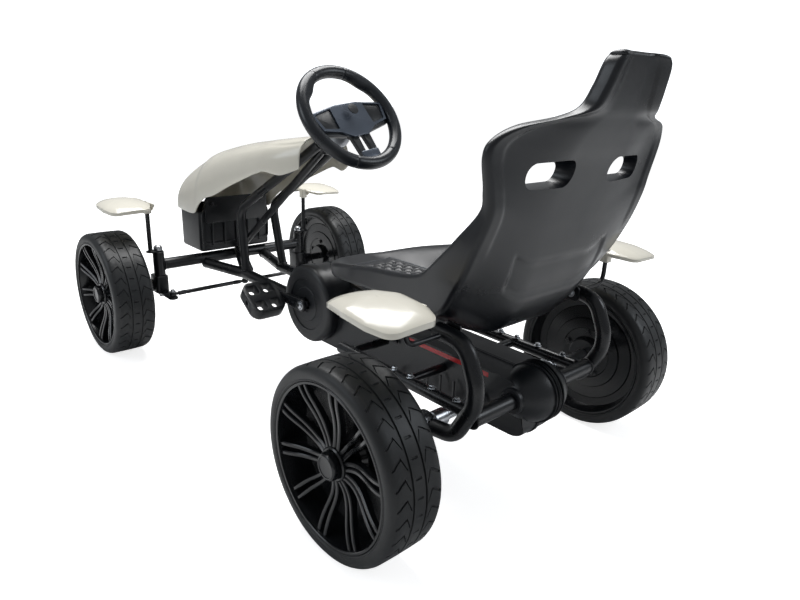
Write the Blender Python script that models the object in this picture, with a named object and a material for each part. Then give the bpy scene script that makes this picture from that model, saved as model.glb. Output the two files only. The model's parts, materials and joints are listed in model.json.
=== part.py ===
"""Pedal go kart: welded tube frame, steered front wheels, chain-driven rear axle, bucket seat.

Metres, +Z up. Front of the kart is -Y and its left is +X. Z = 0 is the floor.
"""

import math

import bmesh
import bpy
from mathutils import Matrix, Vector

# Overall layout
WHEELBASE = 0.983
TRACK_HALF = 0.336
FRONT_AXLE_Y = -0.518
WHEEL_RADIUS = 0.155
GAP = 0.0003

# Wheels
WHEEL_SIDES = 24
TYRE_HALF_WIDTH = 0.048
TREAD_HALF_WIDTH = 0.036
BEAD_HALF_WIDTH = 0.044
RIM_RADIUS = 0.131
RIM_WALL = 0.007
RIM_HALF_WIDTH = 0.045
HUB_RADIUS = 0.028
HUB_HALF_WIDTH = 0.034
WEB_THICKNESS = 0.004
WEB_INSET = 0.018
SPOKE_COUNT = 10
SPOKE_WIDTH = 0.012
SPOKE_DEPTH = 0.008
SPOKE_FACE = 0.044
HUB_CAP_RADIUS = 0.022
HUB_CAP_DEPTH = 0.012

# Shafts
AXLE_RADIUS = 0.010
SHAFT_CLEARANCE = 0.0006
AXLE_SIDES = 16

# Frame tubes
TUBE_RADIUS = 0.014
TUBE_SIDES = 10
BEND_RADIUS = 0.045
BEAM_RADIUS = 0.015
BEAM_ABOVE_AXLE = 0.057
RAIL_BELOW_BEAM = 0.012
RAIL_FRONT_X = 0.092
RAIL_X = 0.056
RAIL_BEND = 0.175
RAIL_START = 0.003
HOOP_X = 0.180
HOOP_REAR = 0.106
HOOP_TOP = 0.176
HOOP_FORWARD = 0.020
HOOP_LOW = 0.006
CROSS_TUBE_BACK = 0.089
CROSS_TUBE_ABOVE = 0.042
SEAT_RAIL_X = 0.150
SEAT_RAIL_RADIUS = 0.011
SEAT_RAIL_FRONT = -0.245
SEAT_RAIL_BARS = (-0.235, -0.075)
BAR_RADIUS = 0.008
BEARING_RADIUS = 0.024
BEARING_WIDTH = 0.020

# Kingpins and knuckles
KINGPIN_INSET = 0.117
KINGPIN_BACK = 0.0155
KINGPIN_RADIUS = 0.006
KINGPIN_HEAD_RADIUS = 0.011
KINGPIN_HEAD_HEIGHT = 0.013
SLEEVE_RADIUS = 0.0145
SLEEVE_BELOW = 0.028
SLEEVE_ABOVE = 0.036
KNUCKLE_HALF_X = 0.017
KNUCKLE_BELOW = 0.018
ARM_LENGTH = 0.075
ARM_WIDTH = 0.024
ARM_THICKNESS = 0.006
TIE_ROD_RADIUS = 0.0055
TIE_ROD_EYE_RADIUS = 0.009
TIE_ROD_EYE_HEIGHT = 0.013
TIE_ROD_EYE_INSET = 0.010
STAY_RADIUS = 0.0045
STAY_PLATE = 0.004

# Steering column
STEER_FORWARD_TILT = math.radians(52.0)
STEER_WHEEL_BACK = 0.5494
STEER_WHEEL_HEIGHT = 0.467
STEER_RIM_RADIUS = 0.111
STEER_GRIP_RADIUS = 0.0135
SIDE_SPOKE_HALF = 0.012
SPOKE_PLATE_FACE = 0.001
SPOKE_PLATE_BACK = 0.010
FORK_SPOKE = ((0.008, 0.026), (0.012, 0.022))
HUB_PLATE_HALF = 0.036
HUB_PLATE_TOP = -0.030
HUB_PLATE_LOW = 0.034
HUB_PLATE_DEPTH = 0.012
HUB_COVER_CENTRES = ((0.022, 0.016), (-0.022, 0.016), (-0.022, -0.014), (0.022, -0.014))
HUB_COVER_CORNER = 0.012
HUB_COVER_HEIGHT = 0.014
COLUMN_RADIUS = 0.009
COLUMN_LENGTH = 0.645
COLUMN_BUSH_RADIUS = 0.017
COLUMN_BUSH_LENGTH = 0.050
COLUMN_BUSH_FROM_WHEEL = 0.095
PITMAN_WIDTH = 0.040
PITMAN_THICKNESS = 0.005
PITMAN_ABOVE = 0.011
SUPPORT_FOOT_BACK = 0.184
SUPPORT_ELBOW_BACK = 0.152
SUPPORT_ELBOW_HEIGHT = 0.213
SUPPORT_X = 0.048
SUPPORT_FOOT_GAP = 0.0026

# Drive
CHAIN_CENTRES = 0.491
CRANK_ABOVE_AXLE = 0.052
CRANK_ARM = 0.085
CRANK_ARM_WIDTH = 0.022
CRANK_ARM_THICKNESS = 0.010
SPINDLE_RADIUS = 0.008
PEDAL_PIN_RADIUS = 0.005
PEDAL_LENGTH = 0.088
PEDAL_WIDTH = 0.084
PEDAL_THICKNESS = 0.026
PEDAL_TILT = math.radians(-35.0)
PEDAL_CORNER = 0.024
PEDAL_FRAME = 0.0115
PEDAL_BAR_HALF = 0.012
PEDAL_RIB_HALF = 0.005
CHAINRING_RADIUS = 0.060
SPROCKET_RADIUS = 0.026
SPROCKET_THICKNESS = 0.004
CHAIN_WIDTH = 0.008
CHAIN_DEPTH = 0.007
DRUM_RADIUS = 0.090
DRUM_HALF_WIDTH = 0.078
CASE_HALF_WIDTH = 0.056
CASE_WALL = 0.003
CASE_TOP = 0.074
CASE_BOTTOM = 0.045
CASE_CORNER = 0.040
CASE_REAR = 0.105
DOME_RADIUS = 0.052
DOME_HALF_WIDTH = 0.064
DRUM_STEP = 0.004

# Fenders
FENDER_GAP_FRONT = 0.078
FENDER_GAP_REAR = 0.098
FENDER_LENGTH = 0.190
FENDER_HALF_WIDTH = 0.060
FENDER_SHEET = 0.004
FENDER_DROP_FRONT = 0.026
FENDER_DROP_REAR = 0.010
FENDER_SAG = 0.007

# Nose: each station is (behind front axle, half width, low edge, top), heights above the axle
NOSE_SHEET = 0.0035
NOSE_TUCK = 0.9
NOSE_STATIONS = (
    (-0.116, 0.088, 0.184, 0.232),
    (-0.108, 0.104, 0.182, 0.262),
    (-0.070, 0.112, 0.182, 0.292),
    (0.000, 0.116, 0.184, 0.326),
    (0.037, 0.117, 0.190, 0.342),
    (0.061, 0.117, 0.220, 0.351),
    (0.176, 0.112, 0.270, 0.378),
    (0.291, 0.103, 0.310, 0.398),
    (0.379, 0.093, 0.338, 0.411),
    (0.435, 0.086, 0.338, 0.418),
)
FAIRING_HALF_WIDTH = 0.106
FAIRING_FRONT = -0.106
FAIRING_REAR = 0.034
FAIRING_BOTTOM = 0.078
FAIRING_WALL = 0.004
FAIRING_CORNER = 0.030

# Seat: each station is (half width, rim depth, edge (behind rear axle, height), middle of the front face,
# middle of the back face), heights above the axle
SEAT_STATIONS = (
    (0.072, 0.022, (-0.405, 0.172), (-0.425, 0.171), (-0.418, 0.146)),
    (0.122, 0.030, (-0.335, 0.194), (-0.365, 0.167), (-0.360, 0.140)),
    (0.150, 0.036, (-0.250, 0.214), (-0.260, 0.161), (-0.260, 0.136)),
    (0.168, 0.044, (-0.160, 0.233), (-0.160, 0.159), (-0.160, 0.135)),
    (0.185, 0.052, (-0.080, 0.246), (-0.070, 0.163), (-0.060, 0.137)),
    (0.198, 0.074, (-0.015, 0.262), (0.005, 0.180), (0.030, 0.148)),
    (0.208, 0.062, (0.028, 0.295), (0.045, 0.220), (0.078, 0.190)),
    (0.212, 0.041, (0.070, 0.337), (0.075, 0.275), (0.107, 0.257)),
    (0.208, 0.024, (0.103, 0.378), (0.092, 0.345), (0.123, 0.337)),
    (0.213, 0.020, (0.110, 0.407), (0.101, 0.385), (0.133, 0.380)),
    (0.226, 0.016, (0.116, 0.452), (0.116, 0.434), (0.147, 0.430)),
    (0.219, 0.015, (0.122, 0.474), (0.130, 0.464), (0.160, 0.462)),
    (0.186, 0.018, (0.133, 0.492), (0.140, 0.486), (0.169, 0.484)),
    (0.125, 0.020, (0.148, 0.503), (0.147, 0.501), (0.175, 0.500)),
    (0.090, 0.029, (0.160, 0.517), (0.153, 0.517), (0.181, 0.515)),
    (0.079, 0.030, (0.170, 0.545), (0.163, 0.547), (0.189, 0.545)),
    (0.070, 0.030, (0.178, 0.577), (0.173, 0.578), (0.197, 0.578)),
    (0.045, 0.027, (0.181, 0.591), (0.178, 0.590), (0.199, 0.590)),
)
SEAT_COLUMNS = (-1.0, -0.86, -0.70, -0.45, -0.20, 0.20, 0.45, 0.70, 0.86, 1.0)
BELT_HOLE_ROW = 9
BELT_HOLE_COLUMNS = (2, 3, 5, 6)
PAD_COLUMNS = slice(3, 7)
PAD_ROWS = slice(1, 5)
PAD_THICKNESS = 0.010
PAD_LIFT = 0.0008
BRACKET_THICKNESS = 0.004

AXLE_Z = WHEEL_RADIUS
REAR_AXLE_Y = FRONT_AXLE_Y + WHEELBASE
CRANK_Y = REAR_AXLE_Y - CHAIN_CENTRES
CRANK_Z = AXLE_Z + CRANK_ABOVE_AXLE
KINGPIN_X = TRACK_HALF - KINGPIN_INSET
KINGPIN_Y = FRONT_AXLE_Y + KINGPIN_BACK
BEAM_Z = AXLE_Z + BEAM_ABOVE_AXLE
RAIL_Z = BEAM_Z - RAIL_BELOW_BEAM
SLEEVE_LOW = BEAM_Z - SLEEVE_BELOW
SLEEVE_HIGH = BEAM_Z + SLEEVE_ABOVE
ARM_Z = AXLE_Z - KNUCKLE_BELOW
TIE_ROD_Y = KINGPIN_Y + ARM_LENGTH
TIE_ROD_Z = ARM_Z + ARM_THICKNESS + GAP + TIE_ROD_EYE_HEIGHT / 2
STEER_DIRECTION = Vector((0, math.sin(STEER_FORWARD_TILT), math.cos(STEER_FORWARD_TILT)))
STEER_DOWN = Vector((0, math.cos(STEER_FORWARD_TILT), -math.sin(STEER_FORWARD_TILT)))
STEER_CENTRE = Vector((0, FRONT_AXLE_Y + STEER_WHEEL_BACK, AXLE_Z + STEER_WHEEL_HEIGHT))
COLUMN_FOOT = STEER_CENTRE - STEER_DIRECTION * COLUMN_LENGTH
CROSS_TUBE_Y = REAR_AXLE_Y + CROSS_TUBE_BACK
CROSS_TUBE_Z = AXLE_Z + CROSS_TUBE_ABOVE
ARM_X = DRUM_HALF_WIDTH + 0.006
PEDAL_X = ARM_X + CRANK_ARM_THICKNESS + 0.003


def material(name, colour, roughness, metallic=0.0):
    made = bpy.data.materials.new(name)
    made.use_nodes = True
    shader = made.node_tree.nodes["Principled BSDF"]
    shader.inputs["Base Color"].default_value = (*colour, 1.0)
    shader.inputs["Roughness"].default_value = roughness
    shader.inputs["Metallic"].default_value = metallic
    made.diffuse_color = (*colour, 1.0)
    return made


def new_object(name, mesh, finish):
    mesh.materials.append(finish)
    made = bpy.data.objects.new(name, mesh)
    bpy.context.scene.collection.objects.link(made)
    return made


def from_faces(name, points, faces, finish, smooth=True):
    """An object from points and faces, its normals made to point outwards."""
    mesh = bpy.data.meshes.new(name)
    shape = bmesh.new()
    corners = [shape.verts.new(point) for point in points]
    for face in faces:
        shape.faces.new([corners[i] for i in face])
    bmesh.ops.recalc_face_normals(shape, faces=shape.faces)
    shape.to_mesh(mesh)
    shape.free()
    if smooth:
        mesh.shade_smooth()
        mesh.set_sharp_from_angle(angle=math.radians(35))
    return new_object(name, mesh, finish)


def helper(made):
    made.hide_render = True
    made.display_type = "WIRE"
    return made


def combine(made, others, operation):
    for other in others:
        helper(other)
        modifier = made.modifiers.new(f"{operation.lower()} {other.name}", "BOOLEAN")
        modifier.operation = operation
        modifier.object = other
        modifier.solver = "EXACT"
    return made


def join(made, *others):
    return combine(made, others, "UNION")


def cut(made, *others):
    return combine(made, others, "DIFFERENCE")


def rounded_path(points, radius, steps=4):
    """The polyline with each inner corner turned into an arc."""
    points = [Vector(point) for point in points]
    path = [points[0]]
    for before, corner, after in zip(points, points[1:], points[2:]):
        to_before = (before - corner).normalized()
        to_after = (after - corner).normalized()
        half = to_before.angle(to_after) / 2
        reach = min(radius / math.tan(half), 0.45 * (before - corner).length, 0.45 * (after - corner).length)
        start = corner + to_before * reach
        end = corner + to_after * reach
        for i in range(steps + 1):
            t = i / steps
            path.append(start * (1 - t) ** 2 + corner * 2 * t * (1 - t) + end * t**2)
    path.append(points[-1])
    return path


def ring_of(centre, side, up, radius, sides, turn=0.5):
    angles = [2 * math.pi * (i + turn) / sides for i in range(sides)]
    return [centre + side * radius * math.cos(a) + up * radius * math.sin(a) for a in angles]


def swept(name, points, radius, finish, sides=TUBE_SIDES, bend=BEND_RADIUS):
    """A round bar along a path with filleted bends."""
    path = rounded_path(points, bend) if len(points) > 2 else [Vector(point) for point in points]
    along = [(b - a).normalized() for a, b in zip(path, path[1:])]
    side = along[0].orthogonal().normalized()
    rings = []
    for i, centre in enumerate(path):
        before = along[max(i - 1, 0)]
        after = along[min(i, len(along) - 1)]
        middle = (before + after).normalized()
        side = (side - middle * side.dot(middle)).normalized()
        up = middle.cross(side)
        rings.append(ring_of(centre, side, up, radius, sides))
    corners = [point for ring in rings for point in ring]
    faces = [list(range(sides)), [len(corners) - sides + i for i in range(sides)]]
    for r in range(len(rings) - 1):
        for i in range(sides):
            j = (i + 1) % sides
            faces.append([r * sides + i, r * sides + j, (r + 1) * sides + j, (r + 1) * sides + i])
    return from_faces(name, corners, faces, finish)


def turned(name, profile, finish, centre, axis=(1, 0, 0), sides=AXLE_SIDES, closed=False):
    """A solid of revolution from (radius, place along the axis) points.

    A closed profile makes a ring. An open one starts and ends on the axis.
    """
    axis = Vector(axis).normalized()
    side = axis.orthogonal().normalized()
    up = axis.cross(side)
    centre = Vector(centre)
    points = []
    loops = []
    for radius, place in profile:
        middle = centre + axis * place
        if radius < 1e-6:
            loops.append([len(points)])
            points.append(middle)
        else:
            loops.append(list(range(len(points), len(points) + sides)))
            points.extend(ring_of(middle, side, up, radius, sides))
    pairs = list(zip(loops, loops[1:]))
    if closed:
        pairs.append((loops[-1], loops[0]))
    faces = []
    for first, second in pairs:
        for i in range(sides):
            j = (i + 1) % sides
            near = [first[i % len(first)], first[j % len(first)]]
            far = [second[j % len(second)], second[i % len(second)]]
            faces.append(list(dict.fromkeys(near + far)))
    return from_faces(name, points, faces, finish)


def cylinder(name, start, end, radius, finish, sides=AXLE_SIDES):
    start = Vector(start)
    length = (Vector(end) - start).length
    profile = [(0, 0), (radius, 0), (radius, length), (0, length)]
    return turned(name, profile, finish, start, Vector(end) - start, sides)


def extruded(name, outline, low, high, finish, plane="YZ"):
    """A flat outline extruded between two values of the axis that the plane leaves out."""
    def point(a, b, c):
        return {"YZ": Vector((c, a, b)), "XY": Vector((a, b, c)), "XZ": Vector((a, c, b))}[plane]

    count = len(outline)
    points = [point(a, b, low) for a, b in outline] + [point(a, b, high) for a, b in outline]
    faces = [list(range(count)), list(range(count, 2 * count))]
    for i in range(count):
        j = (i + 1) % count
        faces.append([i, j, count + j, count + i])
    return from_faces(name, points, faces, finish)


def box(name, low, high, finish):
    outline = [(low[0], low[1]), (high[0], low[1]), (high[0], high[1]), (low[0], high[1])]
    return extruded(name, outline, low[2], high[2], finish, "XY")


def arc(centre, radius, start, end, steps):
    """Points on an arc, angles in degrees."""
    angles = [math.radians(start + (end - start) * i / steps) for i in range(steps + 1)]
    return [(centre[0] + radius * math.cos(a), centre[1] + radius * math.sin(a)) for a in angles]


def sheet(name, rows, finish, offset):
    """A closed sheet from a grid of points and the vector that gives each its thickness."""
    height = len(rows)
    width = len(rows[0])
    upper = [point for row in rows for point in row]
    lower = [point + offset(r, c) for r, row in enumerate(rows) for c, point in enumerate(row)]
    return from_faces(name, upper + lower, closed_grid(height, width, set()), finish)


def closed_grid(height, width, holes):
    """Faces of two stacked grids, joined round the border and round each cell in holes."""
    count = height * width
    faces = []
    border = {}
    for r in range(height - 1):
        for c in range(width - 1):
            if (r, c) in holes:
                continue
            cell = [r * width + c, r * width + c + 1, (r + 1) * width + c + 1, (r + 1) * width + c]
            faces.append(cell)
            faces.append([count + i for i in reversed(cell)])
            for a, b in zip(cell, cell[1:] + cell[:1]):
                key = (min(a, b), max(a, b))
                border[key] = None if key in border else (a, b)
    for edge in border.values():
        if edge:
            a, b = edge
            faces.append([b, a, count + a, count + b])
    return faces


def rig(name, pivot, members):
    """Parents the pieces of a moving body to an empty on its joint's axis."""
    pivot = Vector(pivot)
    holder = bpy.data.objects.new(name, None)
    holder.empty_display_size = 0.05
    holder.location = pivot
    bpy.context.scene.collection.objects.link(holder)
    for member in members:
        member.data.transform(Matrix.Translation(-pivot))
        member.parent = holder
    return holder


def make_materials():
    return {
        "powder_coat": material("powder_coat", (0.012, 0.013, 0.015), 0.42),
        "black_plastic": material("black_plastic", (0.014, 0.015, 0.018), 0.45),
        "gloss_black": material("gloss_black", (0.010, 0.010, 0.011), 0.18),
        "rubber": material("rubber", (0.018, 0.019, 0.020), 0.7),
        "cream_plastic": material("cream_plastic", (0.83, 0.81, 0.76), 0.22),
        "grey_plastic": material("grey_plastic", (0.55, 0.56, 0.58), 0.35),
        "seat_plastic": material("seat_plastic", (0.016, 0.018, 0.021), 0.4),
        "quilted_vinyl": material("quilted_vinyl", (0.03, 0.032, 0.036), 0.5),
        "zinc_steel": material("zinc_steel", (0.70, 0.70, 0.70), 0.3, 1.0),
        "chain_steel": material("chain_steel", (0.25, 0.24, 0.23), 0.4, 1.0),
    }


def make_tyre(name, x, y, finish):
    crown = WHEEL_RADIUS / math.cos(math.pi / WHEEL_SIDES)
    bead = RIM_RADIUS / math.cos(math.pi / WHEEL_SIDES) + GAP
    side = crown - bead
    half = [
        (bead, BEAD_HALF_WIDTH),
        (bead + 0.4 * side, TYRE_HALF_WIDTH),
        (crown - 0.006, TREAD_HALF_WIDTH + 0.009),
        (crown, TREAD_HALF_WIDTH),
    ]
    profile = half + [(radius, -place) for radius, place in reversed(half)]
    return turned(name, profile, finish, (x, y, AXLE_Z), sides=WHEEL_SIDES, closed=True)


def make_rim(name, x, y, outward, finish):
    """Barrel, inner dish, hub and ring of spokes on the outer face."""
    bore = (AXLE_RADIUS + SHAFT_CLEARANCE) / math.cos(math.pi / WHEEL_SIDES)
    barrel = RIM_RADIUS - RIM_WALL
    web = -WEB_INSET
    profile = [
        (bore, -HUB_HALF_WIDTH),
        (bore, HUB_HALF_WIDTH),
        (HUB_RADIUS, HUB_HALF_WIDTH),
        (HUB_RADIUS, web + WEB_THICKNESS),
        (barrel, web + WEB_THICKNESS),
        (barrel, RIM_HALF_WIDTH),
        (RIM_RADIUS, RIM_HALF_WIDTH),
        (RIM_RADIUS, -RIM_HALF_WIDTH),
        (barrel, -RIM_HALF_WIDTH),
        (barrel, web),
        (HUB_RADIUS, web),
    ]
    rim = turned(name, profile, finish, (x, y, AXLE_Z), (outward, 0, 0), WHEEL_SIDES, closed=True)
    spokes = []
    for i in range(SPOKE_COUNT):
        angle = 2 * math.pi * (i + 0.25) / SPOKE_COUNT
        out = Vector((0, math.cos(angle), math.sin(angle)))
        across = Vector((0, -math.sin(angle), math.cos(angle))) * SPOKE_WIDTH / 2
        middle = Vector((x, y, AXLE_Z))
        corners = []
        ends = ((HUB_RADIUS - 0.006, HUB_HALF_WIDTH - 0.002), (barrel + RIM_WALL / 2, SPOKE_FACE))
        for reach, face in ends:
            for edge in (-across, across):
                for depth in (face - SPOKE_DEPTH, face):
                    corners.append(middle + out * reach + edge + Vector((outward * depth, 0, 0)))
        faces = [[0, 1, 3, 2], [4, 6, 7, 5], [0, 4, 5, 1], [2, 3, 7, 6], [0, 2, 6, 4], [1, 5, 7, 3]]
        spokes.append(from_faces(f"{name}_spoke_{i}", corners, faces, finish, smooth=False))
    return join(rim, *spokes)


def make_hub_cap(name, x, y, outward, finish):
    start = HUB_HALF_WIDTH + GAP
    profile = [
        (0, start),
        (HUB_CAP_RADIUS, start),
        (HUB_CAP_RADIUS, start + 0.7 * HUB_CAP_DEPTH),
        (HUB_CAP_RADIUS - 0.004, start + HUB_CAP_DEPTH),
        (0, start + HUB_CAP_DEPTH),
    ]
    return turned(name, profile, finish, (x, y, AXLE_Z), (outward, 0, 0), 16)


def make_wheel(corner, x, y, finishes):
    outward = 1 if x > 0 else -1
    return [
        make_tyre(f"tyre_{corner}", x, y, finishes["rubber"]),
        make_rim(f"rim_{corner}", x, y, outward, finishes["gloss_black"]),
        make_hub_cap(f"hub_cap_{corner}", x, y, outward, finishes["gloss_black"]),
    ]


def kingpin_bore(name, x, finish, sides=14):
    """A cutter for the hole that the kingpin goes through."""
    bore = KINGPIN_RADIUS + SHAFT_CLEARANCE
    return cylinder(f"{name}_bore", (x, KINGPIN_Y, 0), (x, KINGPIN_Y, 1), bore, finish, sides)


def make_front_beam(finish):
    """The beam between the kingpins, with the sleeve that each kingpin turns in."""
    reach = KINGPIN_X - 0.7 * SLEEVE_RADIUS
    ends = [(-reach, KINGPIN_Y, BEAM_Z), (reach, KINGPIN_Y, BEAM_Z)]
    beam = swept("front_axle_beam", ends, BEAM_RADIUS, finish)
    sleeves = []
    bores = []
    for side in (-1, 1):
        x = side * KINGPIN_X
        low = (x, KINGPIN_Y, SLEEVE_LOW)
        high = (x, KINGPIN_Y, SLEEVE_HIGH)
        sleeves.append(cylinder(f"sleeve_{side}", low, high, SLEEVE_RADIUS, finish, 16))
        bores.append(kingpin_bore(f"sleeve_{side}", x, finish, 16))
    return cut(join(beam, *sleeves), *bores)


def make_frame_rail(name, side, finish):
    drum_reach = math.sqrt(DRUM_RADIUS**2 - (CRANK_Z - RAIL_Z) ** 2)
    points = [
        (side * RAIL_FRONT_X, KINGPIN_Y + BEAM_RADIUS + RAIL_START, RAIL_Z),
        (side * RAIL_X, FRONT_AXLE_Y + RAIL_BEND, RAIL_Z),
        (side * RAIL_X, CRANK_Y - drum_reach - 0.002, RAIL_Z),
    ]
    return swept(name, points, TUBE_RADIUS, finish)


def bush_centre():
    return STEER_CENTRE - STEER_DIRECTION * COLUMN_BUSH_FROM_WHEEL


def make_column_support(name, side, finish):
    """Rises from the frame rail, elbows rearwards and runs up beside the column to the bush."""
    top = bush_centre() + STEER_DOWN * 0.004
    reach = COLUMN_BUSH_RADIUS + TUBE_RADIUS * 0.8 + GAP
    points = [
        (side * RAIL_X, FRONT_AXLE_Y + SUPPORT_FOOT_BACK, RAIL_Z + TUBE_RADIUS + SUPPORT_FOOT_GAP),
        (side * SUPPORT_X, FRONT_AXLE_Y + SUPPORT_ELBOW_BACK, AXLE_Z + SUPPORT_ELBOW_HEIGHT),
        (side * reach, top.y, top.z),
    ]
    return swept(name, points, TUBE_RADIUS * 0.8, finish)


def make_column_bush(finish):
    bore = COLUMN_RADIUS + SHAFT_CLEARANCE
    half = COLUMN_BUSH_LENGTH / 2
    profile = [(bore, -half), (bore, half), (COLUMN_BUSH_RADIUS, half), (COLUMN_BUSH_RADIUS, -half)]
    return turned("column_bush", profile, finish, bush_centre(), STEER_DIRECTION, closed=True)


def nose_row(back, half_width, low, top, columns=12):
    """Half a rounded-box section, from one lower edge over the crown to the other."""
    points = []
    for i in range(columns + 1):
        angle = math.pi * i / columns
        across = math.copysign(abs(math.cos(angle)) ** 0.55, math.cos(angle))
        rise = math.sin(angle) ** 0.62
        points.append(Vector((half_width * across, FRONT_AXLE_Y + back, AXLE_Z + low + (top - low) * rise)))
    return points


def make_nose_cowl(finish):
    """A U-shaped shell, open below and behind, with a near-vertical front."""
    rows = [nose_row(*station) for station in NOSE_STATIONS]
    low = AXLE_Z + NOSE_STATIONS[0][2]
    front = [Vector((p.x * NOSE_TUCK, p.y, low + (p.z - low) * (1 - NOSE_TUCK))) for p in rows[0]]
    rows.insert(0, front)

    def inward(r, c):
        middle = Vector((0, FRONT_AXLE_Y + 0.15, AXLE_Z + 0.16))
        point = rows[r][c]
        towards = Vector((middle.x - point.x, 0.35 * (middle.y - point.y), middle.z - point.z))
        return towards.normalized() * NOSE_SHEET

    return sheet("nose_cowl", rows, finish, inward)


def make_nose_fairing(finish):
    """A black tub below the cowl, open at the top."""
    low_y = FRONT_AXLE_Y + FAIRING_FRONT
    high_y = FRONT_AXLE_Y + FAIRING_REAR
    bottom = AXLE_Z + FAIRING_BOTTOM
    top = AXLE_Z + NOSE_STATIONS[3][2] - 0.004
    wide = FAIRING_HALF_WIDTH
    corner = FAIRING_CORNER
    outline = arc((corner - wide, low_y + corner), corner, 180, 270, 4)
    outline += arc((wide - corner, low_y + corner), corner, 270, 360, 4)
    outline += [(wide, high_y), (-wide, high_y)]
    tub = extruded("nose_fairing", outline, bottom, top, finish, "XY")
    wall = FAIRING_WALL
    inner = arc((corner - wide, low_y + corner), corner - wall, 180, 270, 4)
    inner += arc((wide - corner, low_y + corner), corner - wall, 270, 360, 4)
    inner += [(wide - wall, high_y - wall), (-wide + wall, high_y - wall)]
    return cut(tub, extruded("fairing_hollow", inner, bottom + wall, top + 0.1, finish, "XY"))


def make_cowl_bracket(finish):
    """A cross plate in front of the elbows that carries the cowl and the fairing."""
    y = FRONT_AXLE_Y + FAIRING_REAR + 0.006
    z = AXLE_Z + SUPPORT_ELBOW_HEIGHT
    wide = FAIRING_HALF_WIDTH - 0.012
    return box("cowl_bracket", (-wide, y, z - 0.055), (wide, y + BRACKET_THICKNESS, z + 0.015), finish)


def make_boss_cover(finish):
    """A thin sleeve round the column between the cowl and the steering wheel."""
    centre = bush_centre()
    inner = COLUMN_BUSH_RADIUS + 0.010
    start = COLUMN_BUSH_LENGTH / 2 + 0.002
    profile = [
        (inner, start),
        (COLUMN_RADIUS + 0.003, start + 0.026),
        (COLUMN_RADIUS + 0.007, start + 0.026),
        (inner + 0.004, start),
    ]
    return turned("boss_cover", profile, finish, centre, STEER_DIRECTION, closed=True)


def case_outline(inset):
    """Side view of the chain case: drum at the front, body with tangent top and bottom, rounded rear."""
    r = DRUM_RADIUS - inset
    top = AXLE_Z + CASE_TOP - inset
    low = AXLE_Z - CASE_BOTTOM + inset
    corner = CASE_CORNER - inset
    rear = REAR_AXLE_Y + CASE_REAR - inset - corner

    def tangent(y, z, side):
        span = math.hypot(y - CRANK_Y, z - CRANK_Z)
        return math.degrees(math.atan2(z - CRANK_Z, y - CRANK_Y) + side * math.acos(r / span))

    points = arc((CRANK_Y, CRANK_Z), r, tangent(rear, top, 1), 360 + tangent(rear, low, -1), 14)
    points += arc((rear, low + corner), corner, 270, 360, 4)
    points += arc((rear, top - corner), corner, 0, 90, 4)
    return points


def make_chain_case(name, side, finish):
    """Half of the case, split down the middle: drum, body, rear dome and the shaft holes."""
    across = side * CASE_HALF_WIDTH
    low, high = sorted((-0.3 * across, across))
    body = extruded(name, case_outline(DRUM_STEP), low, high, finish)
    drum_end = side * DRUM_HALF_WIDTH
    middle = (-0.2 * across, CRANK_Y, CRANK_Z)
    drum = cylinder(f"{name}_drum", middle, (drum_end, CRANK_Y, CRANK_Z), DRUM_RADIUS, finish, 28)
    quarter = [math.radians(a) for a in range(-75, 90, 15)]
    dome_profile = [(DOME_RADIUS * math.cos(a), DOME_HALF_WIDTH * math.sin(a)) for a in quarter]
    dome_profile = [(0, -DOME_HALF_WIDTH)] + dome_profile + [(0, DOME_HALF_WIDTH)]
    dome = turned(f"{name}_dome", dome_profile, finish, (0, CROSS_TUBE_Y, CROSS_TUBE_Z), sides=20)
    solid = join(body, drum, dome)
    low, high = sorted((-across, across - side * CASE_WALL))
    hollow = extruded(f"{name}_hollow", case_outline(DRUM_STEP + CASE_WALL), low, high, finish)
    room = DRUM_RADIUS - CASE_WALL
    start = (-0.5 * across, CRANK_Y, CRANK_Z)
    end = (drum_end - side * CASE_WALL, CRANK_Y, CRANK_Z)
    drum_room = cylinder(f"{name}_drum_room", start, end, room, finish, 28)
    low, high = sorted((side * GAP / 2, -side * 0.15))
    reach = CHAIN_CENTRES + DRUM_RADIUS
    near_corner = (low, CRANK_Y - reach, 0)
    far_corner = (high, CRANK_Y + 2 * reach, reach)
    other_half = box(f"{name}_other_half", near_corner, far_corner, finish)
    holes = []
    for label, y, z, radius in (
        ("axle", REAR_AXLE_Y, AXLE_Z, AXLE_RADIUS + 0.003),
        ("spindle", CRANK_Y, CRANK_Z, SPINDLE_RADIUS + 0.003),
        ("tube", CROSS_TUBE_Y, CROSS_TUBE_Z, TUBE_RADIUS + 0.0008),
    ):
        start = (-side * 0.07, y, z)
        end = (side * 0.2, y, z)
        holes.append(cylinder(f"{name}_{label}_hole", start, end, radius, finish, 16))
    return cut(solid, other_half, hollow, drum_room, *holes)


def make_rear_hoop(name, side, finish):
    """A C-shaped tube, open forwards, from the axle bearing round behind to under the seat."""
    x = side * HOOP_X
    top = AXLE_Z + HOOP_TOP
    start = REAR_AXLE_Y + BEARING_RADIUS + GAP
    rear = REAR_AXLE_Y + HOOP_REAR
    low = AXLE_Z + HOOP_LOW
    middle = (low + top) / 2
    points = [
        (x, start, low),
        (x, rear - 0.036, low + 0.006),
        (x, rear, middle - 0.012),
        (x, rear, middle + 0.022),
        (x, rear - 0.026, top - 0.004),
        (x, REAR_AXLE_Y + HOOP_FORWARD, top),
    ]
    return swept(name, points, TUBE_RADIUS, finish, bend=0.07)


def make_rear_cross_tube(finish):
    reach = HOOP_X - TUBE_RADIUS - GAP
    ends = [(-reach, CROSS_TUBE_Y, CROSS_TUBE_Z), (reach, CROSS_TUBE_Y, CROSS_TUBE_Z)]
    return swept("rear_cross_tube", ends, TUBE_RADIUS, finish, sides=16)


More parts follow.
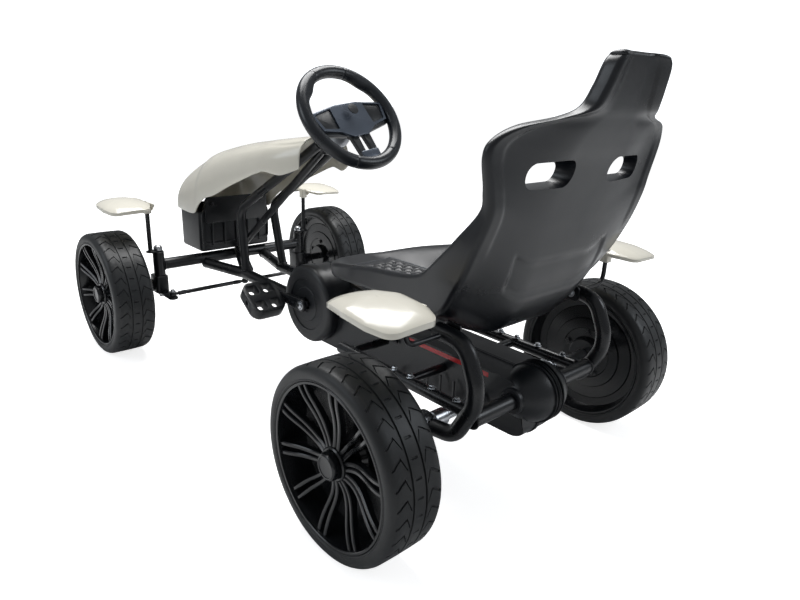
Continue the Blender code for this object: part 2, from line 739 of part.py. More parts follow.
def make_seat_rail(name, side, finish):
    """A rail along the case, welded to the cross tube, with two bars to the case."""
    x = side * SEAT_RAIL_X
    z = CROSS_TUBE_Z
    rear = CROSS_TUBE_Y - TUBE_RADIUS - GAP
    front = REAR_AXLE_Y + SEAT_RAIL_FRONT
    rail = swept(name, [(x, front - 0.02, z), (x, rear, z)], SEAT_RAIL_RADIUS, finish)
    bars = []
    for i, back in enumerate(SEAT_RAIL_BARS):
        y = REAR_AXLE_Y + back
        inner = side * (CASE_HALF_WIDTH + GAP)
        bars.append(cylinder(f"{name}_bar_{i}", (inner, y, z), (x, y, z), BAR_RADIUS, finish, 10))
    return join(rail, *bars)


def make_axle_bearing(name, side, finish):
    bore = AXLE_RADIUS + SHAFT_CLEARANCE
    half = BEARING_WIDTH / 2
    profile = [(bore, -half), (bore, half), (BEARING_RADIUS, half), (BEARING_RADIUS, -half)]
    return turned(name, profile, finish, (side * HOOP_X, REAR_AXLE_Y, AXLE_Z), sides=20, closed=True)


def seat_blend(t):
    """How far a point across the seat has moved from the middle's profile to the edge's."""
    s = max(0.0, (abs(t) - 0.30) / 0.70)
    return s * s * (3 - 2 * s)


def seat_point(station, t, face):
    """A point on the front (face 0) or back (face 1) of the seat, t across from -1 to 1."""
    half, rim_depth, edge, front, back = station
    front = Vector((0, *front))
    back = Vector((0, *back))
    edge = Vector((0, *edge))
    through = (back - front).normalized() * rim_depth
    middle = back if face else front
    rim = edge + through if face else edge
    point = middle.lerp(rim, seat_blend(t))
    inset = 0.006 * face
    return Vector(((half - inset) * t, REAR_AXLE_Y + point.y, AXLE_Z + point.z))


def make_seat_shell(finish):
    rows = len(SEAT_STATIONS)
    columns = len(SEAT_COLUMNS)
    points = []
    for face in (0, 1):
        points += [seat_point(station, t, face) for station in SEAT_STATIONS for t in SEAT_COLUMNS]
    holes = {(BELT_HOLE_ROW, column) for column in BELT_HOLE_COLUMNS}
    return from_faces("seat_shell", points, closed_grid(rows, columns, holes), finish)


def make_seat_pad(finish):
    """The quilted insert, lying on the pan."""
    lift = Vector((0, 0, PAD_LIFT))
    columns = SEAT_COLUMNS[PAD_COLUMNS]
    rows = [[seat_point(station, t, 0) + lift for t in columns] for station in SEAT_STATIONS[PAD_ROWS]]
    return sheet("seat_pad", rows, finish, lambda r, c: Vector((0, 0, PAD_THICKNESS)))


def make_seat_bracket(name, side, finish):
    """An angle plate between the hoop's top and the underside of the seat."""
    x = side * (HOOP_X - TUBE_RADIUS - GAP - BRACKET_THICKNESS / 2)
    y = REAR_AXLE_Y + HOOP_FORWARD
    z = AXLE_Z + HOOP_TOP
    low, high = sorted((x - BRACKET_THICKNESS / 2, x + BRACKET_THICKNESS / 2))
    return box(name, (low, y, z - 0.014), (high, y + 0.034, z + 0.014), finish)


def fender_rows(x, y, z, outward):
    """An arched leaf: pointed at the front, rounded behind, crowned across."""
    rows = []
    steps = 8
    for i in range(steps + 1):
        s = i / steps * 2 - 1
        half = FENDER_HALF_WIDTH * (1 - 0.30 * max(0, -s) ** 1.6 - 0.30 * max(0, s) ** 5)
        drop = (FENDER_DROP_FRONT if s < 0 else FENDER_DROP_REAR) * s * s
        row = []
        for t in (-1.0, -0.6, 0.0, 0.6, 1.0):
            sag = FENDER_SAG * t * t
            row.append(Vector((x + outward * half * t, y + s * FENDER_LENGTH / 2, z - drop - sag)))
        rows.append(row)
    return rows


def make_fender(name, x, y, z, finish):
    rows = fender_rows(x, y, z, 1 if x > 0 else -1)
    return sheet(name, rows, finish, lambda r, c: Vector((0, 0, -FENDER_SHEET)))


def make_rear_fender_stay(name, side, finish):
    """A bent rod from beside the bearing up to the underside of the fender."""
    top = AXLE_Z + WHEEL_RADIUS + FENDER_GAP_REAR - FENDER_SAG - FENDER_SHEET - 2 * GAP
    x = side * (TRACK_HALF - TYRE_HALF_WIDTH - 0.020)
    inner = side * (HOOP_X + TUBE_RADIUS + STAY_RADIUS + GAP)
    y = REAR_AXLE_Y + HOOP_FORWARD + 0.02
    points = [(inner, y, AXLE_Z + HOOP_TOP), (x, y, AXLE_Z + HOOP_TOP), (x, y, top)]
    return swept(name, points, STAY_RADIUS, finish, sides=8, bend=0.02)


def make_knuckle(name, side, finish):
    """Block on the kingpin, stub axle to the wheel and steering arm to the tie rod."""
    x = side * KINGPIN_X
    low = (x - KNUCKLE_HALF_X, FRONT_AXLE_Y - 0.013, ARM_Z)
    high = (x + KNUCKLE_HALF_X, KINGPIN_Y + 0.017, SLEEVE_LOW - GAP)
    block = box(name, low, high, finish)
    stub_end = side * (TRACK_HALF + HUB_HALF_WIDTH - 0.001)
    stub_start = (x, FRONT_AXLE_Y, AXLE_Z)
    stub = cylinder(f"{name}_stub", stub_start, (stub_end, FRONT_AXLE_Y, AXLE_Z), AXLE_RADIUS, finish)
    half = ARM_WIDTH / 2
    outline = [(x + half, KINGPIN_Y)] + arc((x, TIE_ROD_Y), half, 0, 180, 6) + [(x - half, KINGPIN_Y)]
    arm = extruded(f"{name}_arm", outline, ARM_Z, ARM_Z + ARM_THICKNESS, finish, "XY")
    return cut(join(block, stub, arm), kingpin_bore(name, x, finish))


def make_kingpin(name, side, finish):
    low = ARM_Z - 0.012
    seat = SLEEVE_HIGH + STAY_PLATE + 2 * GAP
    head = KINGPIN_HEAD_RADIUS
    profile = [
        (0, low),
        (KINGPIN_RADIUS, low),
        (KINGPIN_RADIUS, seat),
        (head, seat),
        (head, seat + 0.4 * KINGPIN_HEAD_HEIGHT),
        (head * 0.7, seat + 0.85 * KINGPIN_HEAD_HEIGHT),
        (0, seat + KINGPIN_HEAD_HEIGHT),
    ]
    return turned(name, profile, finish, (side * KINGPIN_X, KINGPIN_Y, 0), (0, 0, 1), 14)


def make_front_fender_stay(name, side, finish):
    """A plate held under the kingpin's head, with a rod up to the fender."""
    x = side * KINGPIN_X
    rod_x = side * (KINGPIN_X + 0.020)
    low = SLEEVE_HIGH + GAP
    half = 0.011
    outline = arc((min(x, rod_x), KINGPIN_Y), half, 90, 270, 6)
    outline += arc((max(x, rod_x), KINGPIN_Y), half, -90, 90, 6)
    plate = extruded(name, outline, low, low + STAY_PLATE, finish, "XY")
    top = AXLE_Z + WHEEL_RADIUS + FENDER_GAP_FRONT - FENDER_SAG - FENDER_SHEET - 2 * GAP
    ends = [(rod_x, KINGPIN_Y, low), (rod_x, KINGPIN_Y, top)]
    rod = swept(f"{name}_rod", ends, STAY_RADIUS, finish, sides=8)
    return cut(join(plate, rod), kingpin_bore(name, x, finish))


def make_tie_rod(name, side, finish):
    """A rod with an upright eye at each end, over the knuckle arm and under the pitman arm."""
    inner = PITMAN_WIDTH / 2 - TIE_ROD_EYE_INSET
    ends = [Vector((side * x, TIE_ROD_Y, TIE_ROD_Z)) for x in (KINGPIN_X, inner)]
    rod = cylinder(name, *ends, TIE_ROD_RADIUS, finish, 10)
    half = Vector((0, 0, TIE_ROD_EYE_HEIGHT / 2))
    eyes = []
    for i, end in enumerate(ends):
        eyes.append(cylinder(f"{name}_eye_{i}", end - half, end + half, TIE_ROD_EYE_RADIUS, finish, 12))
    return join(rod, *eyes)


def make_steering_column(finish):
    """The column, with the pitman arm at its foot reaching down towards the tie rods."""
    top = STEER_CENTRE - STEER_DIRECTION * HUB_PLATE_DEPTH
    column = cylinder("steering_column", COLUMN_FOOT, top, COLUMN_RADIUS, finish)
    drop = COLUMN_FOOT.z - (TIE_ROD_Z + TIE_ROD_EYE_HEIGHT / 2 + 0.003)
    reach = drop / -STEER_DOWN.z - 0.004
    half = PITMAN_WIDTH / 2
    across = Vector((1, 0, 0))
    start = COLUMN_FOOT + STEER_DIRECTION * 0.004
    corners = []
    for thick in (0, PITMAN_THICKNESS):
        base = start + STEER_DIRECTION * thick
        edge = [(-PITMAN_ABOVE, 0.25 * PITMAN_WIDTH), (0.2 * reach, 0.4 * PITMAN_WIDTH), (reach, half)]
        corners += [base + STEER_DOWN * down + across * wide for down, wide in edge]
        corners += [base + STEER_DOWN * down - across * wide for down, wide in reversed(edge)]
    faces = [list(range(6)), list(range(6, 12))]
    faces += [[i, (i + 1) % 6, 6 + (i + 1) % 6, 6 + i] for i in range(6)]
    return join(column, from_faces("pitman_arm", corners, faces, finish))


def steering_frame(across, down, along):
    """World point from the steering wheel's own axes: across, down the rim and along the column."""
    return STEER_CENTRE + Vector((1, 0, 0)) * across + STEER_DOWN * down + STEER_DIRECTION * along


def make_steering_rim(finish):
    """Grip ring with two side spokes and a forked lower spoke on a hub plate."""
    steps = 28
    sides = 8
    rings = []
    for i in range(steps):
        angle = 2 * math.pi * i / steps
        out = Vector((1, 0, 0)) * math.cos(angle) + STEER_DOWN * math.sin(angle)
        centre = STEER_CENTRE + out * STEER_RIM_RADIUS
        rings.append(ring_of(centre, out, STEER_DIRECTION, STEER_GRIP_RADIUS, sides))
    points = [point for ring in rings for point in ring]
    faces = []
    for r in range(steps):
        for i in range(sides):
            a, b = r * sides, ((r + 1) % steps) * sides
            j = (i + 1) % sides
            faces.append([a + i, a + j, b + j, b + i])
    grip = from_faces("steering_wheel", points, faces, finish)
    reach = STEER_RIM_RADIUS - 0.3 * STEER_GRIP_RADIUS
    side_spokes = upright(reach, -SIDE_SPOKE_HALF, SIDE_SPOKE_HALF)
    hub_plate = upright(HUB_PLATE_HALF, HUB_PLATE_TOP, HUB_PLATE_LOW)
    parts = [
        steering_slab("steer_side_spokes", side_spokes, -SPOKE_PLATE_BACK, -SPOKE_PLATE_FACE, finish),
        steering_slab("steer_hub_plate", hub_plate, -HUB_PLATE_DEPTH, 0.0, finish),
    ]
    for side in (-1, 1):
        top, foot = FORK_SPOKE
        outline = [(side * top[0], 0.02), (side * top[1], 0.02)]
        outline += [(side * foot[1], reach * 0.98), (side * foot[0], reach * 0.98)]
        spoke = steering_slab(f"steer_low_spoke_{side}", outline, -SPOKE_PLATE_BACK, -0.002, finish)
        parts.append(spoke)
    return join(grip, *parts)


def upright(half_width, top, low):
    """A rectangle in the steering wheel's plane, alike left and right."""
    return [(-half_width, top), (half_width, top), (half_width, low), (-half_width, low)]


def steering_slab(name, outline, low, high, finish):
    count = len(outline)
    points = [steering_frame(a, b, c) for c in (low, high) for a, b in outline]
    faces = [list(range(count)), list(range(count, 2 * count))]
    faces += [[i, (i + 1) % count, count + (i + 1) % count, count + i] for i in range(count)]
    return from_faces(name, points, faces, finish)


def make_hub_cover(finish):
    outline = []
    for centre, start in zip(HUB_COVER_CENTRES, (0, 90, 180, 270)):
        outline += arc(centre, HUB_COVER_CORNER, start, start + 90, 3)
    return steering_slab("steering_hub_cover", outline, GAP, HUB_COVER_HEIGHT, finish)


def ring_plate(name, radius, bore, x, y, z, finish, sides=24):
    half = SPROCKET_THICKNESS / 2
    profile = [(bore, -half), (bore, half), (radius, half), (radius, -half)]
    return turned(name, profile, finish, (x, y, z), sides=sides, closed=True)


def make_chain(finish):
    """One loop round the chainring and the sprocket, as wide as its links."""
    rise = CRANK_Z - AXLE_Z
    tilt = math.degrees(math.atan2(rise, CHAIN_CENTRES))
    lean = math.degrees(math.asin((CHAINRING_RADIUS - SPROCKET_RADIUS) / math.hypot(CHAIN_CENTRES, rise)))

    def loop(extra):
        front = CHAINRING_RADIUS + 0.0015 + extra
        rear = SPROCKET_RADIUS + 0.0015 + extra
        points = arc((CRANK_Y, CRANK_Z), front, 90 - tilt - lean, 270 - tilt + lean, 14)
        points += arc((REAR_AXLE_Y, AXLE_Z), rear, -90 - tilt + lean, 90 - tilt - lean, 9)
        return points

    inner = loop(0)
    outer = loop(CHAIN_DEPTH)
    count = len(inner)
    half = CHAIN_WIDTH / 2
    points = [Vector((x, y, z)) for x in (-half, half) for line in (inner, outer) for y, z in line]
    faces = []
    for i in range(count):
        j = (i + 1) % count
        faces += [
            [i, j, count + j, count + i],
            [2 * count + i, 3 * count + i, 3 * count + j, 2 * count + j],
            [i, 2 * count + i, 2 * count + j, j],
            [count + i, count + j, 3 * count + j, 3 * count + i],
        ]
    return from_faces("drive_chain", points, faces, finish)


def make_crankset(finish):
    """Spindle with an arm at each end, left forwards and right rearwards, and the pedal pins."""
    reach = ARM_X + CRANK_ARM_THICKNESS - 0.001
    ends = [(x, CRANK_Y, CRANK_Z) for x in (-reach, reach)]
    spindle = cylinder("crankset", *ends, SPINDLE_RADIUS, finish)
    parts = []
    half = CRANK_ARM_WIDTH / 2
    for side in (-1, 1):
        forward = -side
        tip_y = CRANK_Y + forward * CRANK_ARM
        low, high = sorted((side * ARM_X, side * (ARM_X + CRANK_ARM_THICKNESS)))
        turn = 90 if forward < 0 else -90
        outline = arc((tip_y, CRANK_Z), half * 0.8, turn, turn + 180, 6)
        outline += arc((CRANK_Y, CRANK_Z), half, turn + 180, turn + 360, 6)
        parts.append(extruded(f"crank_arm_{side}", outline, low, high, finish))
        start = (side * (ARM_X + 0.002), tip_y, CRANK_Z)
        end = (side * (PEDAL_X + PEDAL_WIDTH - 0.004), tip_y, CRANK_Z)
        parts.append(cylinder(f"pedal_pin_{side}", start, end, PEDAL_PIN_RADIUS, finish, 12))
    return join(spindle, *parts)


def make_pedal(name, side, finish):
    """A block with a rounded outline, a bore for the pin and four windows."""
    y = CRANK_Y - side * CRANK_ARM
    low_x, high_x = sorted((side * PEDAL_X, side * (PEDAL_X + PEDAL_WIDTH)))
    half_y = PEDAL_LENGTH / 2
    corner = PEDAL_CORNER
    outline = []
    for cx, cy, start in (
        (high_x - corner, y + half_y - corner, 0),
        (low_x + corner, y + half_y - corner, 90),
        (low_x + corner, y - half_y + corner, 180),
        (high_x - corner, y - half_y + corner, 270),
    ):
        outline += arc((cx, cy), corner, start, start + 90, 3)
    half_z = PEDAL_THICKNESS / 2
    pedal = extruded(name, outline, CRANK_Z - half_z, CRANK_Z + half_z, finish, "XY")
    bore = PEDAL_PIN_RADIUS + SHAFT_CLEARANCE
    ends = [(low_x - PEDAL_FRAME, y, CRANK_Z), (high_x + PEDAL_FRAME, y, CRANK_Z)]
    cutters = [cylinder(f"{name}_bore", *ends, bore, finish, 12)]
    middle = (low_x + high_x) / 2
    for i, (sx, sy) in enumerate(((1, 1), (-1, 1), (-1, -1), (1, -1))):
        xs = sorted((middle + sx * PEDAL_RIB_HALF, middle + sx * (PEDAL_WIDTH / 2 - PEDAL_FRAME)))
        ys = sorted((y + sy * PEDAL_BAR_HALF, y + sy * (half_y - PEDAL_FRAME)))
        near_corner = (xs[0], ys[0], CRANK_Z - PEDAL_LENGTH)
        far_corner = (xs[1], ys[1], CRANK_Z + PEDAL_LENGTH)
        cutters.append(box(f"{name}_window_{i}", near_corner, far_corner, finish))
    pin = Vector((0, y, CRANK_Z))
    tilt = Matrix.Translation(pin) @ Matrix.Rotation(PEDAL_TILT, 4, "X") @ Matrix.Translation(-pin)
    for piece in (pedal, *cutters):
        piece.data.transform(tilt)
    return cut(pedal, *cutters)


def make_fixed_frame(finishes):
    coat = finishes["powder_coat"]
    make_front_beam(coat)
    make_column_bush(coat)
    make_rear_cross_tube(coat)
    make_cowl_bracket(coat)
    make_nose_cowl(finishes["cream_plastic"])
    make_nose_fairing(finishes["black_plastic"])
    make_boss_cover(finishes["grey_plastic"])
    make_seat_shell(finishes["seat_plastic"])
    make_seat_pad(finishes["quilted_vinyl"])
    make_chain(finishes["chain_steel"])
    for word, side in (("left", 1), ("right", -1)):
        make_frame_rail(f"frame_rail_{word}", side, coat)
        make_column_support(f"column_support_{word}", side, coat)
        make_chain_case(f"chain_case_{word}", side, finishes["black_plastic"])
        make_rear_hoop(f"rear_hoop_{word}", side, coat)
        make_seat_rail(f"seat_rail_{word}", side, coat)
        make_axle_bearing(f"axle_bearing_{word}", side, finishes["zinc_steel"])
        make_seat_bracket(f"seat_bracket_{word}", side, coat)
        make_rear_fender_stay(f"rear_fender_stay_{word}", side, coat)
        x = side * (TRACK_HALF - 0.030)
        z = AXLE_Z + WHEEL_RADIUS + FENDER_GAP_REAR
        make_fender(f"rear_fender_{word}", x, REAR_AXLE_Y + 0.020, z, finishes["cream_plastic"])


def make_steering(finishes):
    members = [
        make_steering_column(finishes["powder_coat"]),
        make_steering_rim(finishes["black_plastic"]),
        make_hub_cover(finishes["black_plastic"]),
    ]
    rig("steering_axis", STEER_CENTRE, members)


def make_front_corner(word, side, finishes):
    knuckle = [
        make_knuckle(f"knuckle_{word}", side, finishes["powder_coat"]),
        make_kingpin(f"kingpin_{word}", side, finishes["zinc_steel"]),
        make_front_fender_stay(f"front_fender_stay_{word}", side, finishes["powder_coat"]),
    ]
    x = side * (TRACK_HALF - 0.045)
    z = AXLE_Z + WHEEL_RADIUS + FENDER_GAP_FRONT
    knuckle.append(make_fender(f"front_fender_{word}", x, FRONT_AXLE_Y - 0.010, z, finishes["cream_plastic"]))
    rig(f"kingpin_axis_{word}", (side * KINGPIN_X, KINGPIN_Y, BEAM_Z), knuckle)
    rod = make_tie_rod(f"tie_rod_{word}", side, finishes["powder_coat"])
    rig(f"tie_rod_axis_{word}", (side * KINGPIN_X, TIE_ROD_Y, TIE_ROD_Z), [rod])
    wheel = make_wheel(f"front_{word}", side * TRACK_HALF, FRONT_AXLE_Y, finishes)
    rig(f"front_wheel_axis_{word}", (side * TRACK_HALF, FRONT_AXLE_Y, AXLE_Z), wheel)


def make_rear_axle(finishes):
    reach = TRACK_HALF + HUB_HALF_WIDTH - 0.001
    ends = [(x, REAR_AXLE_Y, AXLE_Z) for x in (-reach, reach)]
    shaft = cylinder("rear_axle", *ends, AXLE_RADIUS, finishes["zinc_steel"])
    bore = AXLE_RADIUS + SHAFT_CLEARANCE
    steel = finishes["chain_steel"]
    sprocket = ring_plate("rear_sprocket", SPROCKET_RADIUS, bore, 0, REAR_AXLE_Y, AXLE_Z, steel)
    members = [shaft, sprocket]
    for word, side in (("left", 1), ("right", -1)):
        members += make_wheel(f"rear_{word}", side * TRACK_HALF, REAR_AXLE_Y, finishes)
    rig("rear_axle_axis", (0, REAR_AXLE_Y, AXLE_Z), members)


def make_crank(finishes):
    bore = SPINDLE_RADIUS + SHAFT_CLEARANCE
    members = [
        make_crankset(finishes["powder_coat"]),
        ring_plate("chainring", CHAINRING_RADIUS, bore, 0, CRANK_Y, CRANK_Z, finishes["chain_steel"]),
    ]
    rig("crank_axis", (0, CRANK_Y, CRANK_Z), members)
    for word, side in (("left", 1), ("right", -1)):
        pedal = make_pedal(f"pedal_{word}", side, finishes["black_plastic"])
        rig(f"pedal_axis_{word}", (side * PEDAL_X, CRANK_Y - side * CRANK_ARM, CRANK_Z), [pedal])


def main():
    for old in list(bpy.data.objects):
        bpy.data.objects.remove(old, do_unlink=True)
    finishes = make_materials()
    make_fixed_frame(finishes)
    make_steering(finishes)
    for word, side in (("left", 1), ("right", -1)):
        make_front_corner(word, side, finishes)
    make_rear_axle(finishes)
    make_crank(finishes)


main()
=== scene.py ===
import json
import math

import bmesh
import bpy
from mathutils import Matrix, Vector

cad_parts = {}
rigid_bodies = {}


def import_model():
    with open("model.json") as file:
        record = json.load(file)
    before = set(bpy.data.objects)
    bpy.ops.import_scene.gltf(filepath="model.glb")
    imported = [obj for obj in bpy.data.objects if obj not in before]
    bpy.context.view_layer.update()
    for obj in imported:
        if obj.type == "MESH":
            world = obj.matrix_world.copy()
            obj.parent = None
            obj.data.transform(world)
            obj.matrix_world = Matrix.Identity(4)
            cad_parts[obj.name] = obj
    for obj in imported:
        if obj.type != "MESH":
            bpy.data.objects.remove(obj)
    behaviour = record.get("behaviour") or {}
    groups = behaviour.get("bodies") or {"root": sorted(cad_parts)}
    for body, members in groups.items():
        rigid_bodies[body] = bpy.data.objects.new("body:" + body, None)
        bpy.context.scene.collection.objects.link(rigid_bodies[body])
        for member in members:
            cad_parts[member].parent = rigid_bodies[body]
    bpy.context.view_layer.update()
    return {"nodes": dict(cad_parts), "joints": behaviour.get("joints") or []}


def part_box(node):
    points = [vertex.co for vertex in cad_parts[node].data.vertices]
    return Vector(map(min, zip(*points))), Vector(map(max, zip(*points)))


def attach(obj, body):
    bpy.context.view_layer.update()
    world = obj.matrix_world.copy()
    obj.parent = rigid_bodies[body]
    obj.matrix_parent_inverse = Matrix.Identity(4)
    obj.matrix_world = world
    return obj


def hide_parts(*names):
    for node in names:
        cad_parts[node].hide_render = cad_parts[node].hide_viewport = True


for left in list(bpy.data.objects):
    bpy.data.objects.remove(left, do_unlink=True)
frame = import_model()
joints = {joint["name"]: joint for joint in frame["joints"]}
print("frame loaded")


# places that the frame gives

def middleOf(nodeName):
    low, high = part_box(nodeName)
    return (low + high) / 2


def sideWord(side):
    return "left" if side > 0 else "right"


rearAxle = middleOf("rear_axle")
frontAxleY = middleOf("tyre_front_left").y
axleZ = rearAxle.z
crankPlace = Vector(joints["crank_spin"]["pos_m"])
steerPlace = Vector(joints["steering_turn"]["pos_m"])
steerAlong = Vector(joints["steering_turn"]["axis"]).normalized()
steerDown = Vector((0, steerAlong.z, -steerAlong.y))
kingpinPlace = Vector(joints["knuckle_left_swivel"]["pos_m"])
tieRodPlace = Vector(joints["tie_rod_left_swivel"]["pos_m"])
hoopX = middleOf("axle_bearing_left").x
crossTube = middleOf("rear_cross_tube")
beamZ = kingpinPlace.z


# colours and material nodes

def linear(hexColour):
    channels = [int(hexColour[i:i + 2], 16) / 255 for i in (0, 2, 4)]
    return [c / 12.92 if c <= 0.04045 else ((c + 0.055) / 1.055) ** 2.4 for c in channels] + [1.0]


def node(tree, kind, sockets=None, **settings):
    made = tree.nodes.new(kind)
    for name, value in settings.items():
        setattr(made, name, value)
    for name, value in (sockets or {}).items():
        if isinstance(value, bpy.types.NodeSocket):
            tree.links.new(value, made.inputs[name])
        else:
            made.inputs[name].default_value = value
    return made


def finish(name, colours, roughness, grainMm, bump, metallic=0.0, coat=0.0, wear=0.06, coatRoughness=0.1):
    # one moulded, coated or plated surface: two close tones, an uneven gloss and a fine relief
    made = bpy.data.materials.new(name)
    made.use_nodes = True
    tree = made.node_tree
    shader = tree.nodes["Principled BSDF"]
    shader.inputs["Metallic"].default_value = metallic
    shader.inputs["Coat Weight"].default_value = coat
    shader.inputs["Coat Roughness"].default_value = coatRoughness
    place = node(tree, "ShaderNodeTexCoord").outputs["Object"]
    broad = node(tree, "ShaderNodeTexNoise", {"Vector": place, "Scale": 14.0, "Detail": 4.0})
    grain = node(tree, "ShaderNodeTexNoise", {"Vector": place, "Scale": 1000.0 / grainMm, "Detail": 3.0})
    tones = node(tree, "ShaderNodeMix", {"Factor": broad.outputs["Fac"]}, data_type="RGBA")
    tones.inputs["A"].default_value = linear(colours[0])
    tones.inputs["B"].default_value = linear(colours[1])
    gloss = node(tree, "ShaderNodeMapRange", {"Value": broad.outputs["Fac"], "From Min": 0.3, "From Max": 0.7,
        "To Min": roughness - wear, "To Max": roughness + wear})
    relief = node(tree, "ShaderNodeBump", {"Height": grain.outputs["Fac"], "Strength": bump,
        "Distance": 0.0004})
    tree.links.new(tones.outputs["Result"], shader.inputs["Base Color"])
    tree.links.new(gloss.outputs["Result"], shader.inputs["Roughness"])
    tree.links.new(relief.outputs["Normal"], shader.inputs["Normal"])
    return made


# carbon-black rubber, press moulded: dull, a touch grey where it has been handled
tyreRubber = finish("mouldedRubber", ("101214", "17191b"), 0.46, 1.6, 0.35)
# polyester powder on steel tube: satin, with a faint orange peel about 2 mm across
powderCoat = finish("powderCoatedSteel", ("0e0f12", "15171b"), 0.3, 2.2, 0.25)
# injection moulded polypropylene: satin with a fine spark-eroded grain, drawn coarser than it is
mouldedPp = finish("mouldedPolypropylene", ("0f1114", "16191e"), 0.36, 1.8, 0.2)
# ABS moulded against a polished tool: deep gloss black
glossAbs = finish("polishedAbs", ("0e0f11", "15171a"), 0.2, 3.0, 0.06, wear=0.04)
# blow moulded HDPE: satin black with a slow waviness
blownHdpe = finish("blowMouldedHdpe", ("0c0e12", "12151b"), 0.32, 3.5, 0.12, wear=0.05)
# off-white ABS, polished, with a clear gloss
creamAbs = finish("creamAbs", ("d6d1c4", "dedacd"), 0.2, 4.0, 0.03, coat=0.35, wear=0.03)
# ABS with silver pigment in a satin lacquer
silverAbs = finish("silverLacqueredAbs", ("9b9ea3", "a9acb1"), 0.32, 2.0, 0.08, metallic=0.35)
# zinc plate, bright passivated: slightly uneven, bluish
zincPlate = finish("brightZincPlate", ("b9bcc0", "cfd1d4"), 0.26, 1.5, 0.12, metallic=1.0, wear=0.08)
# oiled roller-chain steel
oiledSteel = finish("oiledSteel", ("4a4744", "5c5955"), 0.38, 1.2, 0.15, metallic=1.0)
# soft PVC grip over the steering wheel's core
softPvc = finish("softPvcGrip", ("14171c", "1c2026"), 0.3, 1.4, 0.22)
# PVC-coated cloth of the insert: low grain, soft gloss
coatedCloth = finish("pvcCoatedCloth", ("121418", "1a1d22"), 0.36, 1.5, 0.3)
# waxed thread
seamThread = finish("waxedThread", ("3a3d42", "4a4e54"), 0.6, 0.8, 0.3)
# red self-adhesive film
redFilm = finish("redVinylFilm", ("b3262b", "bf2c30"), 0.25, 3.0, 0.04)
print("materials made")


# shapes

def shell(name, points, faces, material, sharp=32):
    mesh = bpy.data.meshes.new(name)
    mesh.from_pydata([tuple(point) for point in points], [], faces)
    shape = bmesh.new()
    shape.from_mesh(mesh)
    bmesh.ops.remove_doubles(shape, verts=shape.verts, dist=1e-6)
    bmesh.ops.recalc_face_normals(shape, faces=shape.faces)
    shape.to_mesh(mesh)
    shape.free()
    mesh.materials.append(material)
    mesh.shade_smooth()
    mesh.set_sharp_from_angle(angle=math.radians(sharp))
    made = bpy.data.objects.new(name, mesh)
    bpy.context.scene.collection.objects.link(made)
    return made


def baked(piece):
    graph = bpy.context.evaluated_depsgraph_get()
    mesh = bpy.data.meshes.new_from_object(piece.evaluated_get(graph))
    piece.modifiers.clear()
    piece.data = mesh
    return piece


def eased(piece, width, segments=2, sharp=32):
    # takes the sharpness off every edge
    modifier = piece.modifiers.new("edges", "BEVEL")
    modifier.width = width
    modifier.segments = segments
    modifier.limit_method = "ANGLE"
    modifier.angle_limit = math.radians(30)
    baked(piece)
    piece.data.shade_smooth()
    piece.data.set_sharp_from_angle(angle=math.radians(sharp))
    return piece


def facesOut(piece, merge=0.0):
    # joins points that coincide, then turns every face outwards
    work = bmesh.new()
    work.from_mesh(piece.data)
    if merge:
        bmesh.ops.remove_doubles(work, verts=work.verts, dist=merge)
    bmesh.ops.recalc_face_normals(work, faces=work.faces)
    work.to_mesh(piece.data)
    work.free()
    return piece


def cutOut(piece, cutters, operation="DIFFERENCE"):
    for cutter in cutters:
        modifier = piece.modifiers.new("cut", "BOOLEAN")
        modifier.object = cutter
        modifier.operation = operation
        modifier.solver = "EXACT"
    baked(piece)
    for cutter in cutters:
        bpy.data.objects.remove(cutter, do_unlink=True)
    piece.data.shade_smooth()
    piece.data.set_sharp_from_angle(angle=math.radians(32))
    return piece


def joined(name, parts):
    with bpy.context.temp_override(active_object=parts[0], selected_editable_objects=parts):
        bpy.ops.object.join()
    parts[0].name = name
    return parts[0]


def onBody(piece, body, slotName, *nodes):
    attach(piece, body)
    if nodes:
        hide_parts(*nodes)
    return piece


def arcPoints(centre, radius, start, end, steps):
    angles = [math.radians(start + (end - start) * i / steps) for i in range(steps + 1)]
    return [(centre[0] + radius * math.cos(a), centre[1] + radius * math.sin(a)) for a in angles]


def filleted(points, radius, steps=6, closed=False):
    # each inner corner turned into a curve
    points = [Vector(point) for point in points]
    count = len(points)
    path = [] if closed else [points[0]]
    for i in range(0 if closed else 1, count if closed else count - 1):
        before, corner, after = points[i - 1], points[i], points[(i + 1) % count]
        toBefore = (before - corner).normalized()
        toAfter = (after - corner).normalized()
        half = toBefore.angle(toAfter) / 2
        most = 0.45 * min((before - corner).length, (after - corner).length)
        reach = min(radius / math.tan(half), most)
        start = corner + toBefore * reach
        end = corner + toAfter * reach
        for k in range(steps + 1):
            t = k / steps
            path.append(start * (1 - t) ** 2 + corner * 2 * t * (1 - t) + end * t ** 2)
    return path if closed else path + [points[-1]]


def swept(name, path, radius, material, sides=20, flat=1.0):
    # a bar along a path; radius may change along it, and flat squashes it across
    path = [Vector(point) for point in path]
    along = [(b - a).normalized() for a, b in zip(path, path[1:])]
    sizes = radius if isinstance(radius, list) else [radius] * len(path)
    side = along[0].orthogonal().normalized()
    points = []
    for i, centre in enumerate(path):
        middle = (along[max(i - 1, 0)] + along[min(i, len(along) - 1)]).normalized()
        side = (side - middle * side.dot(middle)).normalized()
        up = middle.cross(side)
        for k in range(sides):
            a = 2 * math.pi * k / sides
            points.append(centre + side * sizes[i] * math.cos(a) + up * sizes[i] * flat * math.sin(a))
    faces = [list(range(sides)), [len(points) - sides + k for k in range(sides)]]
    for r in range(len(path) - 1):
        for k in range(sides):
            m = (k + 1) % sides
            faces.append([r * sides + k, r * sides + m, (r + 1) * sides + m, (r + 1) * sides + k])
    return shell(name, points, faces, material)


